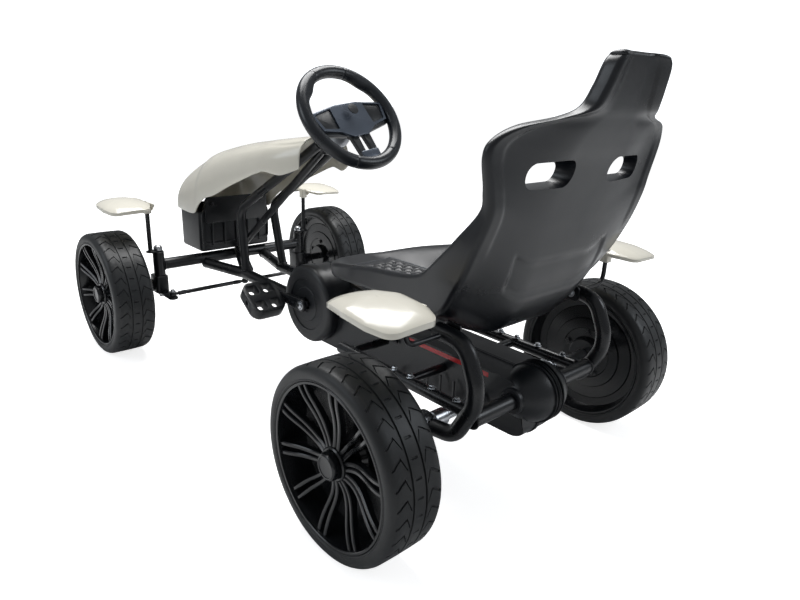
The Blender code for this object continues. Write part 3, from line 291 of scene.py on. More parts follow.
def lathe(name, profile, material, centre, axis=(1, 0, 0), sides=56, ring=False, sharp=32):
    # profile: (radius, place along the axis)
    axis = Vector(axis).normalized()
    side = axis.orthogonal().normalized()
    up = axis.cross(side)
    points = []
    for radius, place in profile:
        for k in range(sides):
            a = 2 * math.pi * k / sides
            points.append(Vector(centre) + axis * place + (side * math.cos(a) + up * math.sin(a)) * radius)
    rows = len(profile)
    faces = []
    for r in range(rows if ring else rows - 1):
        s = (r + 1) % rows
        for k in range(sides):
            m = (k + 1) % sides
            faces.append([r * sides + k, r * sides + m, s * sides + m, s * sides + k])
    return shell(name, points, faces, material, sharp)


def softProfile(points, radius, steps=3):
    inner = filleted([(r, a, 0) for r, a in points], radius, steps)
    return [(point.x, point.y) for point in inner]


def slab(name, outline, low, high, material, place, ease=0.0008, segments=2):
    # a flat outline made thick, its edges eased; place turns (a, b, c) into a point
    count = len(outline)
    points = [place(a, b, c) for c in (low, high) for a, b in outline]
    faces = [list(range(count)), list(range(count, 2 * count))]
    for i in range(count):
        j = (i + 1) % count
        faces.append([i, j, count + j, count + i])
    made = shell(name, points, faces, material)
    return eased(made, ease, segments) if ease else made


def flatXY(a, b, c):
    return Vector((a, b, c))


def flatYZ(a, b, c):
    return Vector((c, a, b))


def flatXZ(a, b, c):
    return Vector((a, c, b))


def onWheelFace(a, b, c):
    # across, down and along the steering wheel's own axis
    return steerPlace + Vector((1, 0, 0)) * a + steerDown * b + steerAlong * c


def roundedBox(a, b, width, height, corner, steps=4):
    outline = []
    for sx, sy, start in ((1, 1, 0), (-1, 1, 90), (-1, -1, 180), (1, -1, 270)):
        centre = (a + sx * (width / 2 - corner), b + sy * (height / 2 - corner))
        outline += arcPoints(centre, corner, start, start + 90, steps)
    return outline


# trees that repeat things

def geometryTree(name, inputs):
    tree = bpy.data.node_groups.new(name, "GeometryNodeTree")
    tree.interface.new_socket("Geometry", in_out="INPUT", socket_type="NodeSocketGeometry")
    for label, kind, value in inputs:
        socket = tree.interface.new_socket(label, in_out="INPUT", socket_type=kind)
        if value is not None:
            socket.default_value = value
    tree.interface.new_socket("Geometry", in_out="OUTPUT", socket_type="NodeSocketGeometry")
    return tree, node(tree, "NodeGroupInput").outputs


def closeTree(tree, instances, inputs, place, turn):
    real = node(tree, "GeometryNodeRealizeInstances", {0: instances})
    moved = node(tree, "GeometryNodeTransform", {"Geometry": real.outputs[0], "Translation": place,
        "Rotation": turn})
    painted = node(tree, "GeometryNodeSetMaterial", {"Geometry": moved.outputs[0],
        "Material": inputs["Material"]})
    node(tree, "NodeGroupOutput", {0: painted.outputs[0]})
    return tree


def makeRingTree():
    # copies of a piece, turned about X
    tree, inputs = geometryTree("ringOfPieces", [("Count", "NodeSocketInt", 10),
        ("Start", "NodeSocketFloat", 0.0), ("Place", "NodeSocketVector", None),
        ("Turn", "NodeSocketVector", None), ("Material", "NodeSocketMaterial", None)])
    points = node(tree, "GeometryNodeMeshLine", {"Count": inputs["Count"], "Offset": (0, 0, 0)})
    index = node(tree, "GeometryNodeInputIndex")
    share = node(tree, "ShaderNodeMath", {0: index.outputs[0], 1: inputs["Count"]}, operation="DIVIDE")
    angle = node(tree, "ShaderNodeMath", {0: share.outputs[0], 1: math.tau, 2: inputs["Start"]},
        operation="MULTIPLY_ADD")
    spin = node(tree, "ShaderNodeCombineXYZ", {0: angle.outputs[0]})
    copies = node(tree, "GeometryNodeInstanceOnPoints", {"Points": points.outputs[0],
        "Instance": inputs["Geometry"], "Rotation": spin.outputs[0]})
    return closeTree(tree, copies.outputs[0], inputs, inputs["Place"], inputs["Turn"])


def makeRowTree():
    # copies of a piece, a step apart
    tree, inputs = geometryTree("rowOfPieces", [("Count", "NodeSocketInt", 4),
        ("Step", "NodeSocketVector", None), ("Place", "NodeSocketVector", None),
        ("Turn", "NodeSocketVector", None), ("Material", "NodeSocketMaterial", None)])
    points = node(tree, "GeometryNodeMeshLine", {"Count": inputs["Count"], "Offset": inputs["Step"]})
    copies = node(tree, "GeometryNodeInstanceOnPoints", {"Points": points.outputs[0],
        "Instance": inputs["Geometry"]})
    return closeTree(tree, copies.outputs[0], inputs, inputs["Place"], inputs["Turn"])


ringTree = makeRingTree()
rowTree = makeRowTree()


def repeated(piece, tree, **values):
    modifier = piece.modifiers.new("repeat", "NODES")
    modifier.node_group = tree
    for item in tree.interface.items_tree:
        if item.in_out == "INPUT" and item.name in values:
            modifier[item.identifier] = values[item.name]
    baked(piece)
    piece.data.set_sharp_from_angle(angle=math.radians(32))
    return piece


# small hardware

def hexBolt(name, place, axis, across=0.010, height=0.005, material=zincPlate):
    # hexagon head with a washer under it
    axis = Vector(axis).normalized()
    washer = lathe(f"{name}Washer", softProfile([(0, 0), (across * 0.85, 0), (across * 0.85, 0.0012),
        (0, 0.0012)], 0.0004), material, place, axis, 24)
    start = Vector(place) + axis * 0.0011
    reach = across / 2 / math.cos(math.pi / 6)
    head = lathe(f"{name}Head", [(0, 0), (reach, 0), (reach, height * 0.8), (reach * 0.86, height),
        (0, height)], material, start, axis, 6)
    return [washer, head]


def weldBead(name, place, axis, radius, bead=0.0025):
    # the fillet where one tube meets another
    section = arcPoints((radius, 0), bead, 0, 330, 7)
    return lathe(name, section, powderCoat, place, axis, 28, ring=True, sharp=80)


# wheels

wheel = {
    "radius": 0.155, "halfWidth": 0.0478, "beadRadius": 0.1315, "treadHalf": 0.037, "pitches": 34,
    "groove": 0.0021, "rimRadius": 0.1312, "wall": 0.006, "dishAt": -0.012, "hub": 0.027, "hubFace": 0.033,
    "spokes": 10, "spokeStart": 12.0, "barWidth": 0.0068, "barDepth": 0.0085, "gapAtRim": 0.0078,
    "gapAtHub": 0.0044, "cap": 0.0222, "capDepth": 0.0115, "innerBolts": 5, "innerBoltRing": 0.046,
}


def treadColumns():
    # (place across from -1 to 1, cross groove, round groove, short sipe, shift round the tyre in pitches)
    half = [
        (0.0, 0, 0, 1, 0), (0.13, 0, 0, 1, 0), (0.16, 0, 0, 0, 0), (0.27, 0, 0, 0, 0), (0.29, 0, 1, 0, 0),
        (0.35, 0, 1, 0, 0), (0.37, 0, 0, 0, 0), (0.41, 0, 0, 0, 0), (0.43, 1, 0, 0, 0.05),
        (0.62, 1, 0, 0, 0.62), (0.80, 1, 0, 0, 0.50), (0.97, 1, 0, 0, 0.32), (1.06, 1, 0, 0, 0.26),
        (1.10, 0, 0, 0, 0.24),
    ]
    return [(-t, a, b, c, d) for t, a, b, c, d in reversed(half[1:])] + half


def makeTyre(corner, body, centre):
    r = wheel["radius"]
    edge = wheel["treadHalf"]
    wide = wheel["halfWidth"]
    bead = wheel["beadRadius"]
    columns = []
    for t, crossCut, roundCut, sipe, shift in treadColumns():
        over = max(0.0, abs(t) - 1.0)
        radius = r - 0.0006 * t * t - 0.014 * over
        columns.append((radius, edge * t, crossCut, roundCut, sipe, shift))
    side = [(r - 0.0045, wide - 0.0035), (r - 0.0085, wide - 0.0008), (r - 0.013, wide), (bead + 0.005, wide),
            (bead + 0.0035, wide - 0.0008), (bead + 0.002, wide - 0.0002), (bead, wide - 0.002)]
    shift = treadColumns()[-1][4]
    right = [(radius, place, 0, 0, 0, shift) for radius, place in side]
    left = [(radius, -place, 0, 0, 0, shift) for radius, place in reversed(side)]
    columns = left + columns + right
    inPitch = [(0.0, 0), (0.03, 1), (0.12, 1), (0.15, 0), (0.42, 0), (0.46, 2), (0.52, 2), (0.56, 0),
               (0.8, 0)]
    points = []
    for p in range(wheel["pitches"]):
        for place, kind in inPitch:
            for radius, across, crossCut, roundCut, sipe, turn in columns:
                angle = math.tau * (p + place + turn) / wheel["pitches"]
                cut = (crossCut and kind == 1) or roundCut or (sipe and kind == 2)
                deep = radius - (wheel["groove"] if cut else 0)
                points.append(centre + Vector((across, deep * math.cos(angle), deep * math.sin(angle))))
    width = len(columns)
    rows = wheel["pitches"] * len(inPitch)
    faces = []
    for i in range(rows):
        j = (i + 1) % rows
        for k in range(width):
            m = (k + 1) % width
            faces.append([i * width + k, i * width + m, j * width + m, j * width + k])
    tyre = shell(f"tyre_{corner}_visual", points, faces, tyreRubber, sharp=40)
    return onBody(tyre, body, "tyre", f"tyre_{corner}")


def spokeBar(name, lane, outward):
    # one bar of a pair: from the hub it swings out to its lane and up to the lip
    steps = 12
    points = []
    for i in range(steps + 1):
        t = i / steps
        reach = 0.022 + (wheel["rimRadius"] - 0.0025 - 0.022) * t
        ease = t * t * (3 - 2 * t)
        across = lane * (wheel["gapAtHub"] + (wheel["gapAtRim"] - wheel["gapAtHub"]) * ease)
        across += 0.0045 * math.sin(math.pi * min(1.0, 1.6 * t)) * (1 - t)
        face = wheel["hubFace"] - 0.004 + 0.0135 * ease - 0.010 * math.sin(math.pi * t) * (1 - t)
        face = min(face, wheel["halfWidth"] - 0.0018)
        half = wheel["barWidth"] / 2
        deep = wheel["barDepth"] * (1.0 + 0.5 * (1 - t))
        for w, d in ((-half, deep), (-half, 0.0014), (-half * 0.6, 0), (half * 0.6, 0), (half, 0.0014),
                (half, deep)):
            points.append(Vector((outward * (face - d), reach, across + w)))
    faces = [list(range(6)), [steps * 6 + k for k in range(6)]]
    for i in range(steps):
        for k in range(6):
            m = (k + 1) % 6
            faces.append([i * 6 + k, i * 6 + m, (i + 1) * 6 + m, (i + 1) * 6 + k])
    return shell(name, points, faces, glossAbs, sharp=25)


def makeRim(corner, body, centre, outward):
    r = wheel["rimRadius"]
    wall = wheel["wall"]
    lip = wheel["halfWidth"] - 0.0015
    dish = wheel["dishAt"]
    hub = wheel["hub"]
    profile = [(0.0108, -0.034), (0.0108, 0.030), (hub - 0.002, wheel["hubFace"] - 0.001),
        (hub, wheel["hubFace"] - 0.003), (hub + 0.001, dish + 0.010), (hub + 0.008, dish + 0.003),
        (0.060, dish), (0.096, dish + 0.001), (r - wall - 0.006, dish + 0.008),
        (r - wall - 0.001, dish + 0.020), (r - wall, lip - 0.006), (r - wall + 0.001, lip - 0.0035),
        (r - wall + 0.001, lip - 0.001), (r - wall + 0.002, lip), (r - 0.001, lip), (r, lip - 0.001),
        (r, -lip + 0.001), (r - 0.001, -lip), (r - wall + 0.002, -lip), (r - wall + 0.001, -lip + 0.001),
        (r - wall, -lip + 0.010), (r - wall - 0.006, -0.020), (0.104, -0.0175), (0.102, -0.0195),
        (0.078, -0.0205), (0.076, -0.0235), (0.056, -0.0245), (0.054, -0.0225), (0.036, -0.0220),
        (0.033, -0.0330), (0.031, -0.034), ]
    barrel = lathe(f"rim_{corner}_visual", profile, glossAbs, centre, (outward, 0, 0), 72, ring=True,
        sharp=24)
    pair = joined(f"spokes_{corner}", [spokeBar(f"bar_{corner}_{lane}", lane, outward) for lane in (-1, 1)])
    turn = math.radians(wheel["spokeStart"])
    repeated(pair, ringTree, Count=wheel["spokes"], Start=turn, Place=tuple(centre), Material=glossAbs)
    studs = joined(f"studs_{corner}", hexBolt(f"stud_{corner}", (-outward * 0.0225, wheel["innerBoltRing"],
        0), (-outward, 0, 0), 0.009, 0.004))
    repeated(studs, ringTree, Count=wheel["innerBolts"], Start=0.3, Place=tuple(centre), Material=powderCoat)
    onBody(joined(f"rim_{corner}_visual", [barrel, pair, studs]), body, "gloss_black", f"rim_{corner}")
    cap = wheel["cap"]
    start = wheel["hubFace"] + 0.0005
    deep = wheel["capDepth"]
    capProfile = [
        (0, start), (cap, start), (cap, start + deep * 0.55), (cap - 0.0015, start + deep * 0.85),
        (cap - 0.004, start + deep), (cap - 0.006, start + deep), (cap - 0.0068, start + deep - 0.0012),
        (cap - 0.009, start + deep - 0.0016), (0, start + deep - 0.0010),
    ]
    hubCap = lathe(f"hub_cap_{corner}_visual", capProfile, glossAbs, centre, (outward, 0, 0), 56, sharp=24)
    onBody(hubCap, body, "gloss_black", f"hub_cap_{corner}")


def makeWheels():
    for end, word in (("front", "left"), ("front", "right"), ("rear", "left"), ("rear", "right")):
        corner = f"{end}_{word}"
        body = f"front_wheel_{word}" if end == "front" else "rear_axle"
        centre = middleOf(f"tyre_{corner}")
        centre.z = axleZ
        makeTyre(corner, body, centre)
        makeRim(corner, body, centre, 1 if centre.x > 0 else -1)
    print("wheels made")


makeWheels()


# front end: beam, rails, supports, knuckles, tie rods

tubes = {
    "beam": 0.015, "rail": 0.014, "support": 0.0112, "sleeve": 0.0145, "railX": 0.056,
    "railFrontX": 0.092, "supportX": 0.048, "elbowY": -0.366, "elbowZ": 0.368, "footY": -0.334,
    "bushBack": 0.095, "bushRadius": 0.017, "stay": 0.0045,
}


def makeFrontBeam():
    y, z = kingpinPlace.y, kingpinPlace.z
    reach = kingpinPlace.x - 0.008
    parts = [swept("beamTube", [(-reach, y, z), (reach, y, z)], tubes["beam"], powderCoat, 28)]
    low, high = z - 0.028, z + 0.036
    for side in (-1, 1):
        x = side * kingpinPlace.x
        r = tubes["sleeve"]
        profile = [(0.0066, low), (0.0066, high), (r - 0.001, high), (r, high - 0.001), (r, low + 0.001),
                   (r - 0.001, low)]
        parts.append(lathe(f"sleeve{side}", profile, powderCoat, (x, y, 0), (0, 0, 1), 32, ring=True))
        parts.append(weldBead(f"sleeveWeld{side}", (x - side * 0.0115, y, z), (1, 0, 0), tubes["beam"]))
        parts.append(weldBead(f"railWeld{side}", (side * tubes["railFrontX"] * 0.985, y + 0.0125, z - 0.010),
            (-side * 0.24, 1, 0), tubes["rail"]))
    onBody(joined("front_axle_beam_visual", parts), "chassis", "powder_coat", "front_axle_beam")


def makeRails():
    railZ = middleOf("frame_rail_left").z
    for side in (-1, 1):
        word = sideWord(side)
        path = filleted([(side * tubes["railFrontX"], kingpinPlace.y + 0.010, railZ),
            (side * tubes["railX"], frontAxleY + 0.175, railZ), (side * tubes["railX"], crankPlace.y - 0.086,
            railZ)], 0.07, 8)
        rail = [swept(f"rail{word}", path, tubes["rail"], powderCoat, 24)]
        foot = Vector((side * tubes["railX"], tubes["footY"], railZ + tubes["rail"] - 0.002))
        rail.append(weldBead(f"footWeld{word}", foot, (0, -0.12, 1), tubes["support"], 0.0028))
        onBody(joined(f"frame_rail_{word}_visual", rail), "chassis", "powder_coat", f"frame_rail_{word}")
        top = steerPlace - steerAlong * tubes["bushBack"] + steerDown * 0.004
        path = filleted([(side * tubes["railX"], tubes["footY"], railZ + 0.010),
            (side * tubes["supportX"], tubes["elbowY"], tubes["elbowZ"]),
            (side * 0.0285, top.y, top.z)], 0.05, 10)
        support = [swept(f"support{word}", path, tubes["support"], powderCoat, 24)]
        support.append(weldBead(f"bushWeld{word}", top + Vector((side * 0.016, 0, 0)), (side, 0, 0), 0.006,
            0.003))
        onBody(joined(f"column_support_{word}_visual", support), "chassis", "powder_coat",
               f"column_support_{word}")


def makeColumnParts():
    centre = steerPlace - steerAlong * tubes["bushBack"]
    r = tubes["bushRadius"]
    profile = [(0.0096, -0.025), (0.0096, 0.025), (r - 0.001, 0.025), (r, 0.024), (r, -0.024),
               (r - 0.001, -0.025)]
    bush = lathe("column_bush_visual", profile, powderCoat, centre, steerAlong, 32, ring=True)
    onBody(bush, "chassis", "powder_coat", "column_bush")
    cover = [(0.0265, 0.0270), (0.0310, 0.0270), (0.0313, 0.0300), (0.0308, 0.0365), (0.0290, 0.0430),
             (0.0250, 0.0490), (0.0200, 0.0525), (0.0150, 0.0535), (0.0122, 0.0530), (0.0122, 0.0515),
             (0.0190, 0.0500), (0.0240, 0.0460), (0.0270, 0.0400), (0.0283, 0.0330)]
    boss = lathe("boss_cover_visual", cover, silverAbs, centre, steerAlong, 56, ring=True)
    onBody(boss, "chassis", "grey_plastic", "boss_cover")
    low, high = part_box("cowl_bracket")
    outline = roundedBox(0, (low.z + high.z) / 2, high.x - low.x, high.z - low.z, 0.010)
    plate = [slab("cowlPlate", outline, low.y, high.y, powderCoat, flatXZ)]
    for side in (-1, 1):
        plate += hexBolt(f"cowlBolt{side}", (side * 0.076, high.y, high.z - 0.018), (0, 1, 0), 0.009, 0.004,
            powderCoat)
    onBody(joined("cowl_bracket_visual", plate), "chassis", "powder_coat", "cowl_bracket")


def makeKnuckle(side):
    word = sideWord(side)
    body = f"knuckle_{word}"
    x, y = side * kingpinPlace.x, kingpinPlace.y
    armZ = axleZ - 0.018
    blockTop = beamZ - 0.0285
    outline = roundedBox(x, (frontAxleY - 0.013 + y + 0.017) / 2, 0.034, y + 0.030 - frontAxleY, 0.008)
    parts = [slab(f"block{word}", outline, armZ, blockTop, powderCoat, flatXY, 0.002, 3)]
    stub = softProfile([(0, 0), (0.0135, 0), (0.0135, 0.052), (0.0100, 0.055), (0.0100, 0.148), (0, 0.148)],
        0.001)
    parts.append(lathe(f"stub{word}", stub, powderCoat, (x, frontAxleY, axleZ), (side, 0, 0), 28))
    parts.append(weldBead(f"stubWeld{word}", (x + side * 0.0165, frontAxleY, axleZ), (1, 0, 0), 0.0135))
    half = 0.012
    arm = [(x + side * half, y)] + arcPoints((x, tieRodPlace.y), half, 0, 180,
        12)[::side] + [(x - side * half, y)]
    parts.append(slab(f"arm{word}", arm, armZ, armZ + 0.006, powderCoat, flatXY, 0.0012))
    onBody(joined(f"knuckle_{word}_visual", parts), body, "powder_coat", f"knuckle_{word}")
    seat = beamZ + 0.0406
    pin = [(0, armZ - 0.012), (0.0052, armZ - 0.012), (0.0060, armZ - 0.011), (0.0060, seat), (0.0108, seat),
           (0.0112, seat + 0.0012), (0.0108, seat + 0.0065), (0.0095, seat + 0.0100), (0.0068, seat + 0.0123),
           (0.0035, seat + 0.0130), (0, seat + 0.0131)]
    pinParts = [lathe(f"pin{word}", pin, zincPlate, (x, y, 0), (0, 0, 1), 36)]
    pinParts += hexBolt(f"pinNut{word}", (x, y, armZ - 0.0002), (0, 0, -1), 0.013, 0.007)
    onBody(joined(f"kingpin_{word}_visual", pinParts), body, "zinc_steel", f"kingpin_{word}")
    rodX = x + side * 0.020
    low = beamZ + 0.0363
    if side > 0:
        outline = arcPoints((x, y), 0.012, 90, 270, 10) + arcPoints((rodX, y), 0.011, -90, 90, 10)
    else:
        outline = arcPoints((rodX, y), 0.011, 90, 270, 10) + arcPoints((x, y), 0.012, -90, 90, 10)
    stay = [slab(f"stayPlate{word}", outline, low, low + 0.004, powderCoat, flatXY, 0.0006)]
    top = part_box(f"front_fender_stay_{word}")[1].z
    stay.append(swept(f"stayRod{word}", [(rodX, y, low), (rodX, y, top)], 0.0055, powderCoat, 20))
    stay.append(weldBead(f"stayWeld{word}", (rodX, y, low + 0.004), (0, 0, 1), 0.0055, 0.002))
    onBody(joined(f"front_fender_stay_{word}_visual", stay), body, "powder_coat", f"front_fender_stay_{word}")
    inner = side * 0.010
    outer = x
    y, z = tieRodPlace.y, tieRodPlace.z
    reach = abs(outer - inner)
    rod = [(0, 0), (0.0040, 0), (0.0040, 0.014), (0.0058, 0.016), (0.0058, 0.034), (0.0046, 0.036),
           (0.0055, 0.038), (0.0055, reach - 0.038), (0.0046, reach - 0.036), (0.0058, reach - 0.034),
           (0.0058, reach - 0.016), (0.0040, reach - 0.014), (0.0040, reach), (0, reach)]
    tie = [lathe(f"tie{word}", rod, powderCoat, (inner, y, z), (side, 0, 0), 20)]
    for i, x in enumerate((inner, outer)):
        ball = [(0, -0.0065), (0.0062, -0.0065), (0.0080, -0.0048), (0.0090, -0.0020), (0.0090, 0.0020),
                (0.0080, 0.0048), (0.0062, 0.0065), (0, 0.0065)]
        tie.append(lathe(f"ball{word}{i}", ball, powderCoat, (x, y, z), (0, 0, 1), 28))
    tie += hexBolt(f"tieNut{word}", (outer, y, z + 0.0062), (0, 0, 1), 0.009, 0.005)
    onBody(joined(f"tie_rod_{word}_visual", tie), f"tie_rod_{word}", "powder_coat", f"tie_rod_{word}")


def makeFrontEnd():
    makeFrontBeam()
    makeRails()
    makeColumnParts()
    for side in (-1, 1):
        makeKnuckle(side)
    print("front end made")


makeFrontEnd()


# steering wheel and column

steering = {
    "rimRadius": 0.111, "grip": 0.0135, "turn": math.radians(9), "columnLength": 0.645, "columnRadius": 0.009,
    "seams": (-68, -112, 62, 118), "thumbs": (-45, -135), "thumbWidth": 20, "thumbRise": 0.006,
}

# dark grey lacquer on the wheel's bezel
graphiteLacquer = finish("graphiteLacquer", ("4c535e", "5a626e"), 0.26, 2.0, 0.06, metallic=0.5, coat=0.3,
    wear=0.04)


def onTurnedFace(a, b, c):
    turn = steering["turn"]
    return onWheelFace(a * math.cos(turn) - b * math.sin(turn), a * math.sin(turn) + b * math.cos(turn), c)


def gripSize(degrees):
    # the section's radius and how far its inside swells
    size = steering["grip"]
    for seam in steering["seams"]:
        apart = abs((degrees - seam + 180) % 360 - 180)
        if apart < 0.9:
            size -= 0.0012 * (1 - apart / 0.9)
    swell = 0
    for thumb in steering["thumbs"]:
        apart = abs((degrees - thumb + 180) % 360 - 180)
        if apart < steering["thumbWidth"]:
            swell += steering["thumbRise"] * (0.5 + 0.5 * math.cos(math.pi * apart / steering["thumbWidth"]))
    return size, swell


def makeGripRing():
    steps, sides = 400, 28
    points = []
    for i in range(steps):
        degrees = 360 * i / steps
        turn = math.radians(degrees)
        size, swell = gripSize(degrees)
        for k in range(sides):
            a = math.tau * k / sides
            inward = max(0.0, -math.cos(a))
            out = steering["rimRadius"] + size * math.cos(a) - swell * inward ** 1.5
            points.append(onTurnedFace(out * math.cos(turn), out * math.sin(turn), size * math.sin(a)))
    faces = []
    for r in range(steps):
        for k in range(sides):
            m = (k + 1) % sides
            s = (r + 1) % steps
            faces.append([r * sides + k, r * sides + m, s * sides + m, s * sides + k])
    return shell("gripRing", points, faces, softPvc, sharp=50)


def both(outline):
    # an outline given for one side, made whole by its mirror image
    return outline + [(-a, b) for a, b in reversed(outline)]


def flatFillet(outline, radius, steps=4):
    return [(p.x, p.y) for p in filleted([(a, b, 0) for a, b in outline], radius, steps, closed=True)]


def makeSteeringWheel():
    bezelOutline = both([(0.030, -0.031), (0.052, -0.0270), (0.1005, -0.0195), (0.0905, 0.0215),
        (0.050, 0.0300), (0.0215, 0.0462)])
    bezel = slab("bezel", flatFillet(bezelOutline, 0.003), -0.004, 0.0035, graphiteLacquer, onTurnedFace,
        0.0012, 3)
    windows = []
    for side in (-1, 1):
        window = [(side * 0.046, -0.0245), (side * 0.0925, -0.0160), (side * 0.0845, 0.0175),
                  (side * 0.048, 0.0240)]
        windows.append(slab(f"window{side}", flatFillet(window, 0.003), -0.0005, 0.02, mouldedPp,
            onTurnedFace, 0))
    bezel = cutOut(bezel, windows)
    parts = [makeGripRing(), bezel]
    for side in (-1, 1):
        panel = [(side * 0.047, -0.0235), (side * 0.0915, -0.0152), (side * 0.0838, 0.0166),
                 (side * 0.049, 0.0230)]
        parts.append(slab(f"spokePanel{side}", flatFillet(panel, 0.003), -0.003, 0.0008, mouldedPp,
            onTurnedFace, 0.0005))
        under = [(side * 0.020, -0.026), (side * 0.102, -0.018), (side * 0.096, 0.0275),
                 (side * 0.030, 0.0400)]
        parts.append(slab(f"underPlate{side}", flatFillet(under, 0.004), -0.0125, -0.0035, mouldedPp,
            onTurnedFace, 0.0015))
        leg = [(side * 0.006, 0.036), (side * 0.0275, 0.036), (side * 0.0235, 0.1010),
               (side * 0.0100, 0.1010)]
        parts.append(slab(f"forkLeg{side}", flatFillet(leg, 0.002), -0.0115, -0.0015, mouldedPp, onTurnedFace,
            0.0018, 3))
    foot = [(0.0245, 0.0800), (-0.0245, 0.0800), (-0.0225, 0.1000), (0.0225, 0.1000)]
    parts.append(slab("forkPlate", flatFillet(foot, 0.003), -0.0035, 0.0012, graphiteLacquer, onTurnedFace,
        0.0012))
    back = both([(0.030, -0.026), (0.036, 0.010), (0.020, 0.040)])
    parts.append(slab("hubBack", flatFillet(back, 0.004), -0.022, -0.004, mouldedPp, onTurnedFace, 0.003, 3))
    onBody(joined("steering_wheel_visual", parts), "steering", "black_plastic", "steering_wheel")


def makeHubCover():
    outline = both([(0.0320, -0.0365), (0.0395, -0.0240), (0.0410, 0.0190), (0.0225, 0.0420)])
    cover = slab("hubCover", flatFillet(outline, 0.006, 5), 0.0025, 0.0185, mouldedPp, onTurnedFace, 0.0045,
        5)
    slot = [(-0.0228, -0.040), (-0.0196, -0.040), (-0.0100, 0.0220), (-0.0128, 0.0262), (0.0120, 0.0262),
            (0.0120, 0.0252), (-0.0142, 0.0240)]
    groove = [(0.0225, -0.040), (0.0236, -0.040), (0.0152, 0.0210), (0.0118, 0.0262), (0.0118, 0.0252),
              (0.0141, 0.0208)]
    cutters = [slab("slotCutter", slot, 0.0135, 0.03, mouldedPp, onTurnedFace, 0),
        slab("grooveCutter", groove, 0.0172, 0.03, mouldedPp, onTurnedFace, 0),
        lathe("badgeRecess", [(0, 0.0170), (0.0128, 0.0170), (0.0128, 0.03), (0, 0.03)], mouldedPp,
        onTurnedFace(0, -0.008, 0), steerAlong, 48)]
    cover = cutOut(cover, cutters)
    disc = lathe("badgeDisc", softProfile([(0, 0.0165), (0.0120, 0.0165), (0.0120, 0.0182), (0, 0.0188)],
        0.0006), mouldedPp, onTurnedFace(0, -0.008, 0), steerAlong, 48)
    onBody(joined("steering_hub_cover_visual", [cover, disc]), "steering", "black_plastic",
           "steering_hub_cover")


def makeColumn():
    length = steering["columnLength"]
    r = steering["columnRadius"]
    foot = steerPlace - steerAlong * length
    profile = softProfile([(0, 0), (r, 0), (r, length - 0.010), (0, length - 0.010)], 0.0012)
    parts = [lathe("columnTube", profile, powderCoat, foot, steerAlong, 32)]
    arm = [(-0.010, -0.011), (0.010, -0.011), (0.016, 0.012), (0.020, 0.064), (0.013, 0.071), (-0.013, 0.071),
           (-0.020, 0.064), (-0.016, 0.012)]
    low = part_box("steering_column")[0]
    reach = (foot.z - low.z) / -steerDown.z * 0.97
    arm = [(a, b * reach / 0.071 if b > 0 else b) for a, b in arm]

    def onArm(a, b, c):
        return foot + Vector((1, 0, 0)) * a + steerDown * b + steerAlong * (0.004 + c)

    parts.append(slab("pitmanArm", flatFillet(arm, 0.004), 0, 0.005, powderCoat, onArm, 0.0008))
    parts.append(weldBead("pitmanWeld", foot + steerAlong * 0.009, steerAlong, r, 0.0022))
    onBody(joined("steering_column_visual", parts), "steering", "powder_coat", "steering_column")


makeSteeringWheel()
makeHubCover()
makeColumn()
print("steering made")


# body panels: cowl, fairing, fenders

def between(before, start, end, after, t):
    # a smooth curve through a table's values
    def blend(p, a, b, q):
        square, cube = 2 * p - 5 * a + 4 * b - q, 3 * a - p - 3 * b + q
        return 0.5 * (2 * a + (b - p) * t + square * t * t + cube * t ** 3)
    return [blend(*values) for values in zip(before, start, end, after)]


def alongTable(table, share):
    place = max(0.0, min(1.0, share)) * (len(table) - 1)
    i = min(int(place), len(table) - 2)
    return between(table[max(i - 1, 0)], table[i], table[i + 1], table[min(i + 2, len(table) - 1)], place - i)


def skin(name, rows, thickness, material, sharp=40, ring=False):
    # an open grid of points made into a thin wall
    width = len(rows[0])
    points = [point for row in rows for point in row]
    faces = []
    for r in range(len(rows) - 1):
        for k in range(width if ring else width - 1):
            m = (k + 1) % width
            faces.append([r * width + k, r * width + m, (r + 1) * width + m, (r + 1) * width + k])
    made = shell(name, points, faces, material, sharp)
    modifier = made.modifiers.new("wall", "SOLIDIFY")
    modifier.thickness = thickness
    modifier.offset = -1
    modifier.use_even_offset = True
    rim = made.modifiers.new("rim", "BEVEL")
    rim.width = abs(thickness) * 0.35
    rim.segments = 2
    rim.limit_method = "ANGLE"
    rim.angle_limit = math.radians(50)
    baked(made)
    made.data.shade_smooth()
    made.data.set_sharp_from_angle(angle=math.radians(sharp))
    return made


# behind the front axle, half width, low edge and top above the axle
cowlTable = [
    (-0.1145, 0.078, 0.186, 0.197), (-0.1165, 0.088, 0.184, 0.220), (-0.1135, 0.097, 0.183, 0.246),
    (-0.1040, 0.105, 0.182, 0.266), (-0.0860, 0.109, 0.182, 0.283), (-0.0600, 0.112, 0.182, 0.298),
    (-0.0300, 0.114, 0.182, 0.313), (0.0000, 0.116, 0.183, 0.326), (0.0240, 0.1165, 0.187, 0.336),
    (0.0400, 0.117, 0.201, 0.3425), (0.0560, 0.117, 0.216, 0.349), (0.0880, 0.1165, 0.236, 0.358),
    (0.1300, 0.115, 0.248, 0.368), (0.1760, 0.113, 0.267, 0.378), (0.2200, 0.111, 0.286, 0.3865),
    (0.2560, 0.109, 0.300, 0.3925), (0.3000, 0.106, 0.317, 0.399), (0.3350, 0.103, 0.330, 0.4045),
    (0.3580, 0.100, 0.336, 0.4080), (0.3800, 0.096, 0.3345, 0.411), (0.4060, 0.089, 0.333, 0.415),
    (0.4300, 0.080, 0.340, 0.418), (0.4560, 0.069, 0.352, 0.421),
]


